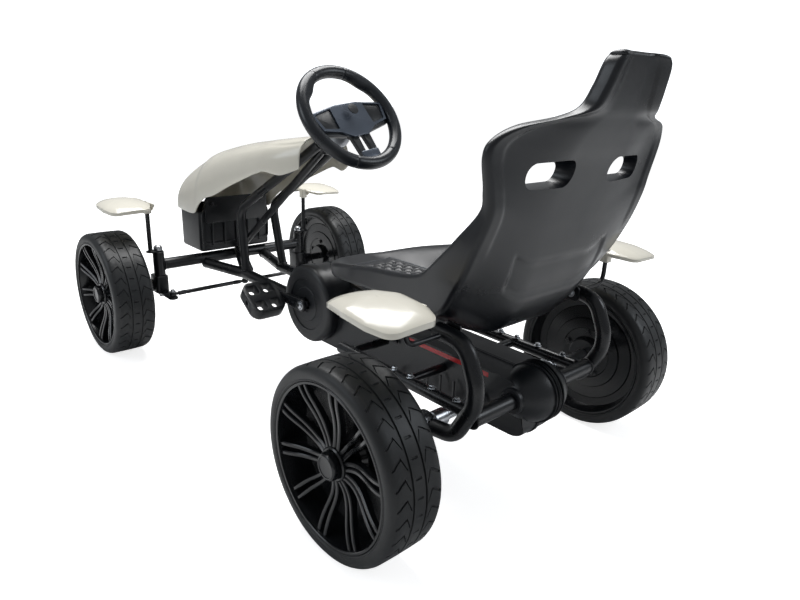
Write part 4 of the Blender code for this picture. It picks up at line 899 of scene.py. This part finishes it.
def cowlRow(back, half, low, top, columns=64):
    row = []
    for i in range(columns + 1):
        angle = math.pi * i / columns
        boxy = max(0.0, min(1.0, back / 0.3))
        across = math.copysign(abs(math.cos(angle)) ** (0.66 - 0.08 * boxy), math.cos(angle))
        rise = max(0.0, math.sin(angle)) ** (0.80 - 0.12 * boxy)
        crease = 0.0022 * math.exp(-((rise - 0.80) / 0.035) ** 2) * max(0.0, min(1.0, (back - 0.12) / 0.2))
        row.append(Vector(((half - crease) * across, frontAxleY + back, axleZ + low + (top - low) * rise)))
    return row


def makeCowl():
    rows = [cowlRow(*alongTable(cowlTable, i / 90)) for i in range(91)]
    cowl = skin("nose_cowl_visual", rows, 0.0032, creamAbs)
    onBody(cowl, "chassis", "cream_plastic", "nose_cowl")


def makeFairing():
    low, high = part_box("nose_fairing")
    wide = high.x
    front, rear = low.y, high.y
    corner = 0.034

    def plan(inset):
        r = corner - inset
        points = arcPoints((corner - wide, front + corner), r, 180, 270, 8)
        points += arcPoints((wide - corner, front + corner), r, 270, 360, 8)
        return points + arcPoints((wide - 0.012, rear - 0.012), 0.012 - min(inset, 0.006), 0, 90,
            4) + arcPoints((0.012 - wide, rear - 0.012), 0.012 - min(inset, 0.006), 90, 180, 4)

    tub = slab("nose_fairing_visual", plan(0), low.z, high.z + 0.012, mouldedPp, flatXY, 0.007, 4)
    hollow = slab("fairingHollow", plan(0.004), low.z + 0.004, high.z + 0.1, mouldedPp, flatXY, 0)
    tub = cutOut(tub, [hollow])
    top = high.z + 0.040
    wall = [(-wide + 0.004, low.z + 0.02), (wide - 0.004, low.z + 0.02), (wide - 0.004, high.z),
            (wide - 0.020, top),
            (0.020 - wide, top), (0.004 - wide, high.z)]
    parts = [tub, slab("fairingWall", flatFillet(wall, 0.012, 6), rear - 0.005, rear - 0.001, mouldedPp,
        flatXZ, 0.0015)]
    lip = [(p[0], p[1]) for p in flatFillet(wall, 0.012, 6)]
    inner = [(x * 0.955, low.z + 0.024 + (z - low.z - 0.02) * 0.94) for x, z in lip]
    frameLip = slab("fairingLip", lip, rear - 0.001, rear + 0.004, mouldedPp, flatXZ, 0)
    frameLip = cutOut(frameLip, [slab("lipHollow", inner, rear - 0.01, rear + 0.02, mouldedPp, flatXZ, 0)])
    parts.append(eased(frameLip, 0.0012))
    rib = slab("fairingRibs", roundedBox(0, (low.z + top) / 2 - 0.01, 0.006, top - low.z - 0.05, 0.002),
               -0.001, 0.005, mouldedPp, flatXZ, 0.0012)
    repeated(rib, rowTree, Count=5, Step=(0.036, 0, 0), Place=(-0.072, rear, 0), Material=mouldedPp)
    parts.append(rib)
    onBody(joined("nose_fairing_visual", parts), "chassis", "black_plastic", "nose_fairing")


fender = {"length": 0.190, "half": 0.060, "sheet": 0.0036, "dropFront": 0.030, "dropRear": 0.016,
    "sag": 0.009, "lip": 0.006, "outline": ((0.014, -0.095), (0.038, -0.058), (0.056, -0.005), (0.057, 0.045),
    (0.046, 0.083), (-0.034, 0.083), (-0.050, 0.045), (-0.052, -0.005), (-0.038, -0.058), (-0.014, -0.095)), }


def fenderPoint(s, t):
    drop = (fender["dropFront"] if s < 0 else fender["dropRear"]) * s ** 2
    return Vector((fender["half"] * t, s * fender["length"] / 2, -drop - fender["sag"] * t * t))


def makeFender(name, centre, outward):
    # rings from the middle out to a turned-down edge
    outline = [(point.x, point.y) for point in filleted([(x, y, 0) for x, y in fender["outline"]], 0.03, 8,
        True)]
    steps = 14
    rows = []
    for r in range(1, steps + 3):
        share = min(1.0, r / steps)
        lip = max(0, r - steps) / 2
        row = []
        for x, y in outline:
            point = fenderPoint(y * share / (fender["length"] / 2), x * share / fender["half"])
            point.z -= 0.003 * share ** 8 + fender["lip"] * lip
            row.append(centre + Vector((outward * point.x, point.y, point.z)))
        rows.append(row)
    rows.insert(0, [centre + Vector((0, 0.0001 * math.sin(math.tau * k / len(outline)),
        0)) + Vector((outward * 0.0001 * math.cos(math.tau * k / len(outline)), 0,
        0)) for k in range(len(outline))])
    return skin(name, rows, fender["sheet"] * -outward, creamAbs, ring=True)


def makeFenderMount(name, place, height):
    # the block that takes the top of the rod, with a web to either side
    x, y, z = place
    block = slab(f"{name}Block", roundedBox(x, y, 0.0185, 0.0185, 0.004), z - height, z + 0.001, creamAbs,
        flatXY, 0.0012)
    bore = slab(f"{name}Bore", roundedBox(x, y, 0.0106, 0.0106, 0.005), z - height - 0.01, z - 0.003,
                creamAbs,
                flatXY, 0)
    web = [(y - 0.036, z), (y + 0.030, z), (y + 0.011, z - height + 0.008), (y - 0.011, z - height + 0.008)]
    return [cutOut(block, [bore]), slab(f"{name}Web", web, x - 0.0105, x - 0.0085, creamAbs, flatYZ, 0.0006)]


def makeFenders():
    for side in (-1, 1):
        word = sideWord(side)
        for end in ("front", "rear"):
            low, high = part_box(f"{end}_fender_{word}")
            centre = Vector(((low.x + high.x) / 2, (low.y + high.y) / 2, high.z))
            body = f"knuckle_{word}" if end == "front" else "chassis"
            name = f"{end}_fender_{word}_visual"
            parts = [makeFender(name, centre, side)]
            stayLow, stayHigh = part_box(f"{end}_fender_stay_{word}")
            rodX = side * (kingpinPlace.x + 0.020) if end == "front" else side * max(abs(stayLow.x),
                abs(stayHigh.x))
            if end == "rear":
                rodX -= side * tubes["stay"]
            rodY = kingpinPlace.y if end == "front" else (stayLow.y + stayHigh.y) / 2
            under = fenderPoint((rodY - centre.y) / fender["length"] * 2, (rodX - centre.x) / fender["half"])
            parts += makeFenderMount(f"{end}Mount{word}", (rodX, rodY, centre.z + under.z - 0.002), 0.026)
            onBody(joined(name, parts), body, "cream_plastic", f"{end}_fender_{word}")
    print("panels made")


makeCowl()
makeFairing()
makeFenders()


# seat: half width and rim depth, then three places as behind the rear axle and above it: the edge, the
# middle of the front and the middle of the back
seatTable = [(0.072, 0.022, -0.405, 0.172, -0.425, 0.171, -0.418, 0.146),
    (0.122, 0.030, -0.335, 0.194, -0.365, 0.167, -0.360, 0.140), (0.150, 0.036, -0.250, 0.214, -0.260, 0.161,
    -0.260, 0.136), (0.168, 0.044, -0.160, 0.233, -0.160, 0.159, -0.160, 0.135), (0.185, 0.052, -0.080, 0.246,
    -0.070, 0.163, -0.060, 0.137), (0.198, 0.074, -0.015, 0.262, 0.005, 0.180, 0.030, 0.148), (0.208, 0.062,
    0.028, 0.295, 0.045, 0.220, 0.078, 0.190), (0.212, 0.041, 0.070, 0.337, 0.075, 0.275, 0.107,
    0.257), (0.208, 0.024, 0.103, 0.378, 0.092, 0.345, 0.123, 0.337), (0.213, 0.020, 0.110, 0.407, 0.101,
    0.385, 0.133, 0.380), (0.226, 0.016, 0.116, 0.452, 0.116, 0.434, 0.147, 0.430), (0.219, 0.015, 0.122,
    0.474, 0.130, 0.464, 0.160, 0.462), (0.186, 0.018, 0.133, 0.492, 0.140, 0.486, 0.169, 0.484), (0.125,
    0.020, 0.148, 0.503, 0.147, 0.501, 0.175, 0.500), (0.090, 0.029, 0.160, 0.517, 0.153, 0.517, 0.181,
    0.515), (0.079, 0.030, 0.170, 0.545, 0.163, 0.547, 0.189, 0.545), (0.070, 0.030, 0.178, 0.577, 0.173,
    0.578, 0.197, 0.578), (0.045, 0.027, 0.181, 0.591, 0.178, 0.590, 0.199, 0.590), ]
seat = {"rows": 230, "across": 120, "turns": 6, "corner": 0.009, "endRadius": 0.009, "band": 0.024,
        "recess": 0.0024,
        "panelHalf": 0.128, "panelLow": 0.222, "panelHigh": 0.288, "panelDeep": 0.0036}


def soften(x):
    x = max(0.0, min(1.0, x))
    return x * x * (3 - 2 * x)


def seatBlend(t):
    s = max(0.0, (abs(t) - 0.30) / 0.70)
    return s * s * (3 - 2 * s)


def seatPoint(share, t, face, deep=0.0):
    # a point on the front (0) or back (1) of the seat, t across from -1 to 1, deep below that face
    half, rim, ey, ez, fy, fz, by, bz = alongTable(seatTable, share)
    front, back, edge = Vector((0, fy, fz)), Vector((0, by, bz)), Vector((0, ey, ez))
    through = (back - front).normalized()
    middle = back if face else front
    rimPoint = edge + through * rim if face else edge
    if face:
        # the back lies a little below a raised band along its edge, and the lower panel below that
        inside = soften((half * (1 - abs(t)) - seat["band"]) / 0.008) * soften((0.978 - share) / 0.02)
        deep += seat["recess"] * inside * soften((share - 0.40) / 0.04)
        panel = soften((seat["panelHalf"] - abs(half * t)) / 0.010)
        panel = panel * soften((bz - seat["panelLow"]) / 0.010) * soften((seat["panelHigh"] - bz) / 0.006)
        deep += seat["panelDeep"] * panel
    point = middle.lerp(rimPoint, seatBlend(t)) + through * (-deep if face else deep)
    return Vector((half * t, rearAxle.y + point.y, axleZ + point.z))


def seatLoop(share):
    # one section: front face, rounded rim, back face, rounded rim
    half, rim = alongTable(seatTable, share)[:2]
    r = min(seat["corner"], rim * 0.48)
    edge = 1 - r / half
    flat = [(edge * (2 * i / seat["across"] - 1), 0.0) for i in range(seat["across"] + 1)]
    turn = [math.radians(90 * (i + 1) / seat["turns"]) for i in range(seat["turns"])]
    turn = [(edge + (1 - edge) * math.sin(a), r * (1 - math.cos(a))) for a in turn]
    right = [(t, deep, 0) for t, deep in flat + turn] + [(t, deep, 1) for t, deep in reversed(turn)]
    left = [(-t, deep, 1) for t, deep in flat + turn] + [(-t, deep, 0) for t, deep in reversed(turn)]
    return [seatPoint(share, t, face, deep) for t, deep, face in right + left]


def seatCap(row, before):
    # rows that close an end: they draw in to the middle of the wall and round off the corners
    way = (row[len(row) // 8] - before[len(row) // 8]).normalized()
    last = 2 * (seat["across"] + 1) + 2 * seat["turns"] - 1
    half = max(point.x for point in row)
    r = seat["endRadius"]
    rows = []
    for angle in (15, 30, 45, 60, 75, 90):
        a = math.radians(angle)
        made = []
        for i, point in enumerate(row):
            middle = (point + row[(last - i) % len(row)]) / 2
            moved = middle + (point - middle) * math.cos(a) + way * r * math.sin(a)
            moved.x *= 1 - 1.6 * r / half * (1 - math.cos(a))
            made.append(moved)
        rows.append(made)
    return rows


def makeSeatShell():
    first, last = 0.008, 0.955
    rows = [seatLoop(first + (last - first) * i / seat["rows"]) for i in range(seat["rows"] + 1)]
    rows = seatCap(rows[0], rows[1])[::-1] + rows + seatCap(rows[-1], rows[-2])
    width = len(rows[0])
    points = [point for row in rows for point in row]
    faces = []
    for r in range(len(rows) - 1):
        for k in range(width):
            m = (k + 1) % width
            faces.append([r * width + m, r * width + k, (r + 1) * width + k, (r + 1) * width + m])
    made = shell("seat_shell_visual", points, faces, blownHdpe, 50)
    facesOut(made, 0.0001)
    holes = []
    for side in (-1, 1):
        outline = roundedBox(side * 0.0985, axleZ + 0.4235, 0.092, 0.028, 0.0135, 8)
        wide = roundedBox(side * 0.0985, axleZ + 0.421, 0.124, 0.066, 0.030, 8)
        near, far = rearAxle.y + 0.05, rearAxle.y + 0.20
        loops = [[Vector((x, near, z)) for x, z in outline],
                 [Vector((x, rearAxle.y + 0.116, z)) for x, z in outline],
                 [Vector((x, far, z)) for x, z in wide]]
        count = len(outline)
        corners = [point for loop in loops for point in loop]
        quads = [[i * count + k, i * count + (k + 1) % count, (i + 1) * count + (k + 1) % count,
                  (i + 1) * count + k]
                 for i in range(2) for k in range(count)]
        quads += [list(range(count))[::-1], list(range(2 * count, 3 * count))]
        hole = shell(f"beltHole{sideWord(side)}", corners, quads, blownHdpe)
        holes.append(facesOut(hole))
    made = cutOut(made, holes)
    made.data.shade_smooth()
    made.data.set_sharp_from_angle(angle=math.radians(48))
    onBody(made, "chassis", "seat_plastic", "seat_shell")


def makeSeatPad():
    # the quilted insert: a domed cushion with stitched diamonds and a corded edge
    columns, lines, pitch = 150, 150, 0.030
    firstShare, lastShare = 1.06 / 17, 3.94 / 17
    spread = 0.435
    reach = [[seatPoint(firstShare + (lastShare - firstShare) * r / lines, spread * (2 * c / columns - 1), 0)
              for c in range(columns + 1)] for r in range(lines + 1)]
    points = []
    for r, row in enumerate(reach):
        for c, place in enumerate(row):
            u, v = place.x / pitch, place.y / pitch
            fromEdge = min(c, columns - c, r, lines - r) / 12
            one = abs(math.sin(math.pi * (u + v)))
            other = abs(math.sin(math.pi * (u - v)))
            quilt = (one * other) ** 0.45
            plump = 0.0030 + 0.0058 * quilt * min(1.0, max(0.0, fromEdge - 0.5))
            edge = math.sqrt(max(0.0, 1 - (1 - min(1.0, fromEdge * 4)) ** 2))
            points.append(place + Vector((0, 0, 0.0010 + plump * edge)))
    base = len(points)
    points += [place + Vector((0, 0, 0.0010)) for row in reach for place in row]
    width = columns + 1
    faces = []
    for r in range(lines):
        for c in range(columns):
            i = r * width + c
            faces.append([i, i + 1, i + width + 1, i + width])
            faces.append([base + i, base + i + width, base + i + width + 1, base + i + 1])
    border = [c for c in range(width)] + [r * width + columns for r in range(1, lines + 1)]
    border += [lines * width + c for c in range(columns - 1, -1, -1)] + [r * width for r in range(lines - 1,
        0, -1)]
    for k, i in enumerate(border):
        j = border[(k + 1) % len(border)]
        faces.append([j, i, base + i, base + j])
    pad = shell("seat_pad_visual", points, faces, coatedCloth, 60)
    rim = [points[i] + Vector((0, 0, 0.0014)) for i in border[::4]]
    cord = swept("padCord", rim + rim[:1], 0.0021, seamThread, 8)
    piece = joined("seat_pad_visual", [pad, cord])
    onBody(piece, "chassis", "quilted_vinyl", "seat_pad")


makeSeatShell()
makeSeatPad()
print("seat made")


# chain case, in two halves

case = {
    "half": 0.056, "drumRadius": 0.090, "drumHalf": 0.078, "top": 0.229, "bottom": 0.110, "corner": 0.040,
    "domeRadius": 0.052, "domeHalf": 0.064, "wall": 0.0035, "behindAxle": 0.105,
}


def caseOutline(inset=0.0):
    r = case["drumRadius"] - 0.004 - inset
    y, z = crankPlace.y, crankPlace.z
    top, low = case["top"] - inset, case["bottom"] + inset
    end = rearAxle.y + case["behindAxle"] - inset
    corner = case["corner"]
    leave = math.degrees(math.asin((top - z) / r))
    meet = math.degrees(math.asin(max(-1.0, (low - z) / r)))
    outline = arcPoints((y, z), r, leave, 360 + meet, 40)
    outline += arcPoints((end - corner, low + corner), corner, -90, 0, 8)
    outline += arcPoints((end - corner, top - corner), corner, 0, 90, 8)
    return outline


def makeCase(side):
    word = sideWord(side)
    low, high = sorted((0.0, side * case["half"]))
    body = slab(f"case{word}", caseOutline(), low, high, mouldedPp, flatYZ, 0)
    hollow = sorted((-side * 0.02, side * (case["half"] - case["wall"])))
    body = cutOut(body, [slab(f"caseHollow{word}", caseOutline(case["wall"]), *hollow, mouldedPp, flatYZ, 0)])
    for vertex in body.data.vertices:
        low = soften((0.175 - vertex.co.z) / 0.065) * soften((vertex.co.y - crankPlace.y - 0.10) / 0.06)
        vertex.co.x *= 1 - 0.5 * low
    place = (0, crankPlace.y, crankPlace.z)
    r, wide = case["drumRadius"], case["drumHalf"]
    profile = [(r - 0.016, 0.0506), (r - 0.0008, 0.0506), (r, 0.0512), (r, wide - 0.012)]
    profile += [(r - 0.012 + 0.012 * math.cos(math.radians(a)),
        wide - 0.012 + 0.012 * math.sin(math.radians(a))) for a in (18, 36, 54, 72, 90)]
    profile += [(0.060, wide), (0.0585, wide - 0.0022), (0.040, wide - 0.0022), (0.0385, wide - 0.0004),
                (0.0180, wide - 0.0004), (0.0165, wide - 0.0022), (0.0128, wide - 0.0022),
                (0.0128, wide - 0.0050), (r - 0.020, wide - 0.0050)]
    parts = [body, lathe(f"drum{word}", profile, mouldedPp, place, (side, 0, 0), 96, ring=True)]
    depth = case["domeHalf"]
    domePlace = (0, crossTube.y, crossTube.z)
    arc = [math.radians(a) for a in range(0, 90, 5)]
    ball = [(case["domeRadius"] * math.cos(a), depth * math.sin(a)) for a in arc] + [(0.002, depth)]
    cap = lathe(f"dome{word}", [(0.002, 0.0)] + ball, mouldedPp, domePlace, (side, 0, 0), 80, ring=True)
    collar = [(0.0146, depth - 0.010), (0.0225, depth - 0.010), (0.0225, depth + 0.001),
              (0.0205, depth + 0.003),
              (0.0146, depth + 0.003)]
    parts.append(lathe(f"domeCollar{word}", collar, mouldedPp, domePlace, (side, 0, 0), 48, ring=True))
    for turn in (0, 1):
        r = case["domeRadius"]
        rim = [(r - 0.004, 0.0), (r + 0.0022, 0.0), (r + 0.0028, 0.0012), (r + 0.0022, 0.0026),
               (r - 0.004, 0.0026)]
        parts.append(lathe(f"domeRim{word}{turn}", [(p, q + 0.0008 + 0.0075 * turn) for p, q in rim],
            mouldedPp, domePlace, (side, 0, 0), 80, ring=True))
    parts.append(cap)
    for k in range(5):
        y = rearAxle.y - 0.115 + 0.034 * k
        parts.append(slab(f"caseRib{word}{k}", roundedBox(y, case["bottom"] + 0.046, 0.005, 0.046, 0.002),
            *sorted((side * (case["half"] - 0.001), side * (case["half"] + 0.0018))), mouldedPp, flatYZ,
            0.0008))
    for y, z in ((rearAxle.y - 0.205, 0.206), (rearAxle.y - 0.205, 0.135), (rearAxle.y - 0.060, 0.135)):
        parts += hexBolt(f"caseBolt{word}{int(y * 1000)}{int(z * 1000)}", (side * case["half"], y, z),
            (side, 0, 0), 0.009, 0.004, powderCoat)
    stripe = [(rearAxle.y - 0.182, 0.2165), (rearAxle.y + 0.030, 0.2165), (rearAxle.y + 0.030, 0.225),
              (rearAxle.y - 0.182, 0.225)]
    parts.append(slab(f"caseStripe{word}", stripe, *sorted((side * (case["half"] - 0.0004),
        side * (case["half"] + 0.0003))), redFilm, flatYZ, 0))
    seam = slab(f"caseSeam{word}", caseOutline(-0.0016), *sorted((0.0004 * side, 0.0042 * side)), mouldedPp,
                flatYZ,
                0.0008)
    hollowSeam = slab(f"seamHollow{word}", caseOutline(0.001), -0.01, 0.01, mouldedPp, flatYZ, 0)
    parts.append(cutOut(seam, [hollowSeam]))
    onBody(joined(f"chain_case_{word}_visual", parts), "chassis", "black_plastic", f"chain_case_{word}")


# rear frame

rear = {"hoop": 0.014, "seatRail": 0.011, "bar": 0.008, "axle": 0.010, "railX": 0.150, "stay": 0.0045,
    "bars": (0.230, 0.390), "bolts": (0.358, 0.399, 0.451, 0.509), "hoopPath": ((0.0243, 0.161),
    (0.070, 0.167), (0.106, 0.234), (0.106, 0.268), (0.080, 0.327), (0.020, 0.331)), }


def makeHoops():
    for side in (-1, 1):
        word = sideWord(side)
        points = [(side * abs(hoopX), rearAxle.y + y, z) for y, z in rear["hoopPath"]]
        parts = [swept(f"hoop{word}", filleted(points, 0.07, 10), rear["hoop"], powderCoat, 28)]
        x, y, z = points[-1]
        parts.append(lathe(f"hoopPlug{word}", [(0.0, 0.0), (0.0120, 0.0), (0.0120, 0.0015), (0.0105, 0.003),
            (0.0, 0.003)], mouldedPp, (x, y, z), (0, -1, 0), 28))
        onBody(joined(f"rear_hoop_{word}_visual", parts), "chassis", "powder_coat", f"rear_hoop_{word}")
        low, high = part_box(f"axle_bearing_{word}")
        half = (high.x - low.x) / 2
        shape = [(0.0106, -half), (0.0150, -half), (0.0158, -half + 0.001), (0.0178, -half + 0.001),
            (0.0186, -half), (0.0228, -half), (0.0240, -half + 0.0014), (0.0240, half - 0.0014),
            (0.0228, half), (0.0186, half), (0.0178, half - 0.001), (0.0158, half - 0.001), (0.0150, half),
            (0.0106, half)]
        bearing = lathe(f"axle_bearing_{word}_visual", shape, zincPlate,
            ((low.x + high.x) / 2, rearAxle.y, axleZ), (1, 0, 0), 56, ring=True)
        onBody(bearing, "chassis", "zinc_steel", f"axle_bearing_{word}")
        low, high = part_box(f"seat_bracket_{word}")
        outline = roundedBox((low.y + high.y) / 2, (low.z + high.z) / 2, high.y - low.y, high.z - low.z,
            0.006)
        plate = [slab(f"bracket{word}", outline, low.x, high.x, powderCoat, flatYZ, 0.0008)]
        inner = low.x if side > 0 else high.x
        plate += hexBolt(f"bracketBolt{word}", (inner, (low.y + high.y) / 2, (low.z + high.z) / 2),
            (-side, 0, 0), 0.010, 0.005)
        onBody(joined(f"seat_bracket_{word}_visual", plate), "chassis", "powder_coat", f"seat_bracket_{word}")
        low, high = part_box(f"rear_fender_stay_{word}")
        x, y = side * (max(abs(low.x), abs(high.x)) - rear["stay"]), (low.y + high.y) / 2
        z = low.z + rear["stay"]
        path = filleted([(side * min(abs(low.x), abs(high.x)), y, z), (x, y, z), (x, y, high.z)], 0.022, 8)
        rod = swept(f"rear_fender_stay_{word}_visual", path, rear["stay"], powderCoat, 20)
        onBody(rod, "chassis", "powder_coat", f"rear_fender_stay_{word}")


def makeSeatRails():
    for side in (-1, 1):
        word = sideWord(side)
        low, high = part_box(f"seat_rail_{word}")
        z = crossTube.z
        x = side * rear["railX"]
        parts = [swept(f"seatRail{word}", [(x, low.y, z), (x, low.y + 0.0015, z), (x, high.y - 0.0015, z),
            (x, high.y, z)], [rear["seatRail"] - 0.0015, rear["seatRail"], rear["seatRail"],
            rear["seatRail"] - 0.0015], powderCoat, 28)]
        inner = side * min(abs(low.x), abs(high.x))
        for y in rear["bars"]:
            parts.append(swept(f"bar{word}{int(y * 1000)}", [(inner, y, z), (x, y, z)], rear["bar"],
                powderCoat, 20))
            parts.append(weldBead(f"barWeld{word}{int(y * 1000)}", (x - side * 0.0105, y, z), (side, 0, 0),
                rear["bar"], 0.0024))
        for k, y in enumerate(rear["bolts"]):
            parts += hexBolt(f"railBolt{word}{k}", (x, y, z + rear["seatRail"] - 0.0004), (0, 0, 1), 0.009,
                0.005)
        onBody(joined(f"seat_rail_{word}_visual", parts), "chassis", "powder_coat", f"seat_rail_{word}")


def makeCrossTube():
    low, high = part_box("rear_cross_tube")
    parts = [swept("crossTube", [(low.x, crossTube.y, crossTube.z), (high.x, crossTube.y, crossTube.z)],
        rear["hoop"], powderCoat, 28)]
    for side in (-1, 1):
        parts.append(weldBead(f"crossWeld{side}", (side * (high.x - 0.0022), crossTube.y, crossTube.z),
            (side, 0, 0), rear["hoop"], 0.0022))
    onBody(joined("rear_cross_tube_visual", parts), "chassis", "powder_coat", "rear_cross_tube")


def makeRearAxle():
    r = rear["axle"]
    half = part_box("rear_axle")[1].x
    profile = [(0.001, -half), (r - 0.0015, -half), (r, -half + 0.0015)]
    for a, b in ((-0.160, -0.130), (0.130, 0.160)):
        profile += [(r, a), (0.0138, a), (0.0150, a + 0.0012), (0.0150, b - 0.0012), (0.0138, b), (r, b)]
    profile += [(r, half - 0.0015), (r - 0.0015, half), (0.001, half)]
    shaft = lathe("axleShaft", profile, zincPlate, rearAxle, (1, 0, 0), 48)
    parts = [shaft]
    for side in (-1, 1):
        parts.append(lathe(f"axleEnd{side}", [(0.0, half), (0.0012, half)], zincPlate, rearAxle, (side, 0, 0),
            48))
    onBody(joined("rear_axle_visual", parts), "rear_axle", "zinc_steel", "rear_axle")


# cranks, pedals and chain

drive = {
    "spindle": 0.008, "armLow": 0.084, "armHigh": 0.094, "pin": 0.005, "pinReach": 0.177,
    "pedalX": 0.097, "pedalWide": 0.084, "pedalLong": 0.088, "pedalHigh": 0.026, "pedalTilt": -35,
}


def makeCrankset():
    y, z = crankPlace.y, crankPlace.z
    r = drive["spindle"]
    parts = [swept("spindle", [(-0.093, y, z), (0.093, y, z)], r, zincPlate, 32)]
    for side in (-1, 1):
        word = sideWord(side)
        pin = Vector(joints[f"pedal_{word}_spin"]["pos_m"])
        way = pin.y - y
        boss, eye = 0.0150, 0.0105
        start, end = (90, 270) if way > 0 else (-90, 90)
        outline = arcPoints((y, z), boss, start, end, 14) + arcPoints((pin.y, pin.z), eye, end, end + 180, 14)
        low, high = sorted((side * drive["armLow"], side * drive["armHigh"]))
        arm = slab(f"crankArm{word}", outline, low, high, powderCoat, flatYZ, 0.0022, 3)
        parts.append(arm)
        parts += hexBolt(f"spindleBolt{word}", (side * (drive["armHigh"] - 0.0002), y, z), (side, 0, 0),
            0.013, 0.0026)
        parts.append(swept(f"pin{word}", [(side * 0.090, pin.y, pin.z), (side * drive["pinReach"], pin.y,
            pin.z)], drive["pin"], zincPlate, 24))
    onBody(joined("crankset_visual", parts), "crank", "powder_coat", "crankset")


def makePedal(side):
    word = sideWord(side)
    pin = Vector(joints[f"pedal_{word}_spin"]["pos_m"])
    tilt = math.radians(drive["pedalTilt"])
    long, tall = drive["pedalLong"], drive["pedalHigh"]

    def onPedal(a, b, c):
        # a across the kart, b along the tread, c up
        return Vector((side * a, pin.y + b * math.cos(tilt) - c * math.sin(tilt),
            pin.z + b * math.sin(tilt) + c * math.cos(tilt)))

    middle = drive["pedalX"] + drive["pedalWide"] / 2
    outline = roundedBox(middle, 0, drive["pedalWide"], long, 0.022, 8)
    block = slab(f"pedal{word}", outline, -tall / 2, tall / 2, mouldedPp, onPedal, 0)
    facesOut(block)
    windows = []
    for a in (-1, 1):
        for b in (-1, 1):
            windows.append(roundedBox(middle + a * 0.0185, b * 0.0225, 0.026, 0.026, 0.006))
    cutters = []
    for k, window in enumerate(windows):
        cutter = slab(f"window{word}{k}", window, -0.03, 0.03, mouldedPp, onPedal, 0)
        cutters.append(cutter)
    bore = lathe(f"bore{word}", [(0.0, 0.08), (0.0056, 0.08), (0.0056, 0.2), (0.0, 0.2)], mouldedPp,
        (0, pin.y, pin.z), (side, 0, 0), 28)
    for cutter in cutters + [bore]:
        facesOut(cutter, 0.00001)
    block = cutOut(block, cutters + [bore])
    block = eased(block, 0.0011, 2, 40)
    parts = [block]
    for end in (-1, 1):
        for face in (-1, 1):
            for k in range(7):
                a = middle + (k - 3) * 0.0092
                low, high = sorted((face * (tall / 2 - 0.001), face * (tall / 2 + 0.0004)))
                parts.append(slab(f"grip{word}{end}{face}{k}", roundedBox(a, end * 0.0397, 0.0034, 0.0052,
                    0.001, 2), low, high, mouldedPp, onPedal, 0))
    onBody(joined(f"pedal_{word}_visual", parts), f"pedal_{word}", "black_plastic", f"pedal_{word}")


def makeDrive():
    for side in (-1, 1):
        makeCase(side)
        makePedal(side)
    makeCrankset()
    for name in ("drive_chain", "chainring", "rear_sprocket"):
        piece = frame["nodes"][name]
        piece.data.materials.clear()
        piece.data.materials.append(oiledSteel)


makeHoops()
makeSeatRails()
makeCrossTube()
makeRearAxle()
makeDrive()
print("rear and drive made")


# floor, light and camera

def areaLight(name, place, aim, size, power, colour=(1, 1, 1), wide=None):
    data = bpy.data.lights.new(name, "AREA")
    data.energy = power
    data.color = colour
    data.shape = "RECTANGLE"
    data.size = size
    data.size_y = wide or size
    lamp = bpy.data.objects.new(name, data)
    lamp.location = place
    lamp.rotation_euler = (Vector(aim) - Vector(place)).to_track_quat("-Z", "Y").to_euler()
    bpy.context.scene.collection.objects.link(lamp)
    return lamp


def makeFloor():
    # pale paint; straight to the camera it is as bright as the wall behind, so the two meet without a line
    paint = bpy.data.materials.new("paleFloor")
    paint.use_nodes = True
    tree = paint.node_tree
    shader = tree.nodes["Principled BSDF"]
    shader.inputs["Base Color"].default_value = linear("e9e9e9")
    shader.inputs["Roughness"].default_value = 0.9
    shader.inputs["Specular IOR Level"].default_value = 0.1
    seen = node(tree, "ShaderNodeLightPath").outputs["Is Camera Ray"]
    lift = node(tree, "ShaderNodeMath", {0: seen, 1: 0.8}, operation="MULTIPLY")
    shader.inputs["Emission Color"].default_value = (1.0, 1.0, 1.0, 1.0)
    tree.links.new(lift.outputs[0], shader.inputs["Emission Strength"])
    floor = slab("floor", roundedBox(0, 0, 30, 30, 2), -0.02, 0, paint, flatXY, 0)


def makeLight():
    world = bpy.data.worlds.new("studio")
    bpy.context.scene.world = world
    world.use_nodes = True
    tree = world.node_tree
    sky = tree.nodes["Background"]
    sky.inputs["Color"].default_value = (0.94, 0.97, 1.0, 1.0)
    seen = node(tree, "ShaderNodeLightPath").outputs["Is Camera Ray"]
    level = node(tree, "ShaderNodeMapRange", {"Value": seen, "To Min": 0.30, "To Max": 1.6})
    tree.links.new(level.outputs["Result"], sky.inputs["Strength"])
    bpy.context.scene.view_settings.view_transform = "Standard"
    areaLight("softboxAbove", (-0.5, -0.7, 2.6), (0, 0.1, 0.3), 2.2, 84, wide=1.5)
    areaLight("softboxLeft", (2.4, -0.9, 1.7), (0, 0, 0.4), 1.3, 13, (0.86, 0.93, 1.0))
    areaLight("softboxBehind", (-1.9, 2.2, 1.9), (0, 0.3, 0.4), 1.2, 16, (0.88, 0.94, 1.0))


def makeCamera():
    place = Vector((0.8503, 1.1119, 0.6894))
    around, above, roll = (math.radians(a) for a in (136.866, 18.8174, 2.3797))
    back = Vector((math.sin(around) * math.cos(above), -math.cos(around) * math.cos(above), math.sin(above)))
    right = Vector((0, 0, 1)).cross(back).normalized()
    up = back.cross(right)
    across = right * math.cos(roll) + up * math.sin(roll)
    rise = up * math.cos(roll) - right * math.sin(roll)
    data = bpy.data.cameras.new("camera")
    data.lens = 28.41
    data.sensor_width = 36
    camera = bpy.data.objects.new("camera", data)
    camera.matrix_world = Matrix([[across[i], rise[i], back[i], place[i]] for i in range(3)] + [[0, 0, 0, 1]])
    bpy.context.scene.collection.objects.link(camera)
    bpy.context.scene.camera = camera


makeFloor()
makeLight()
makeCamera()
bpy.context.view_layer.update()
print("scene made")
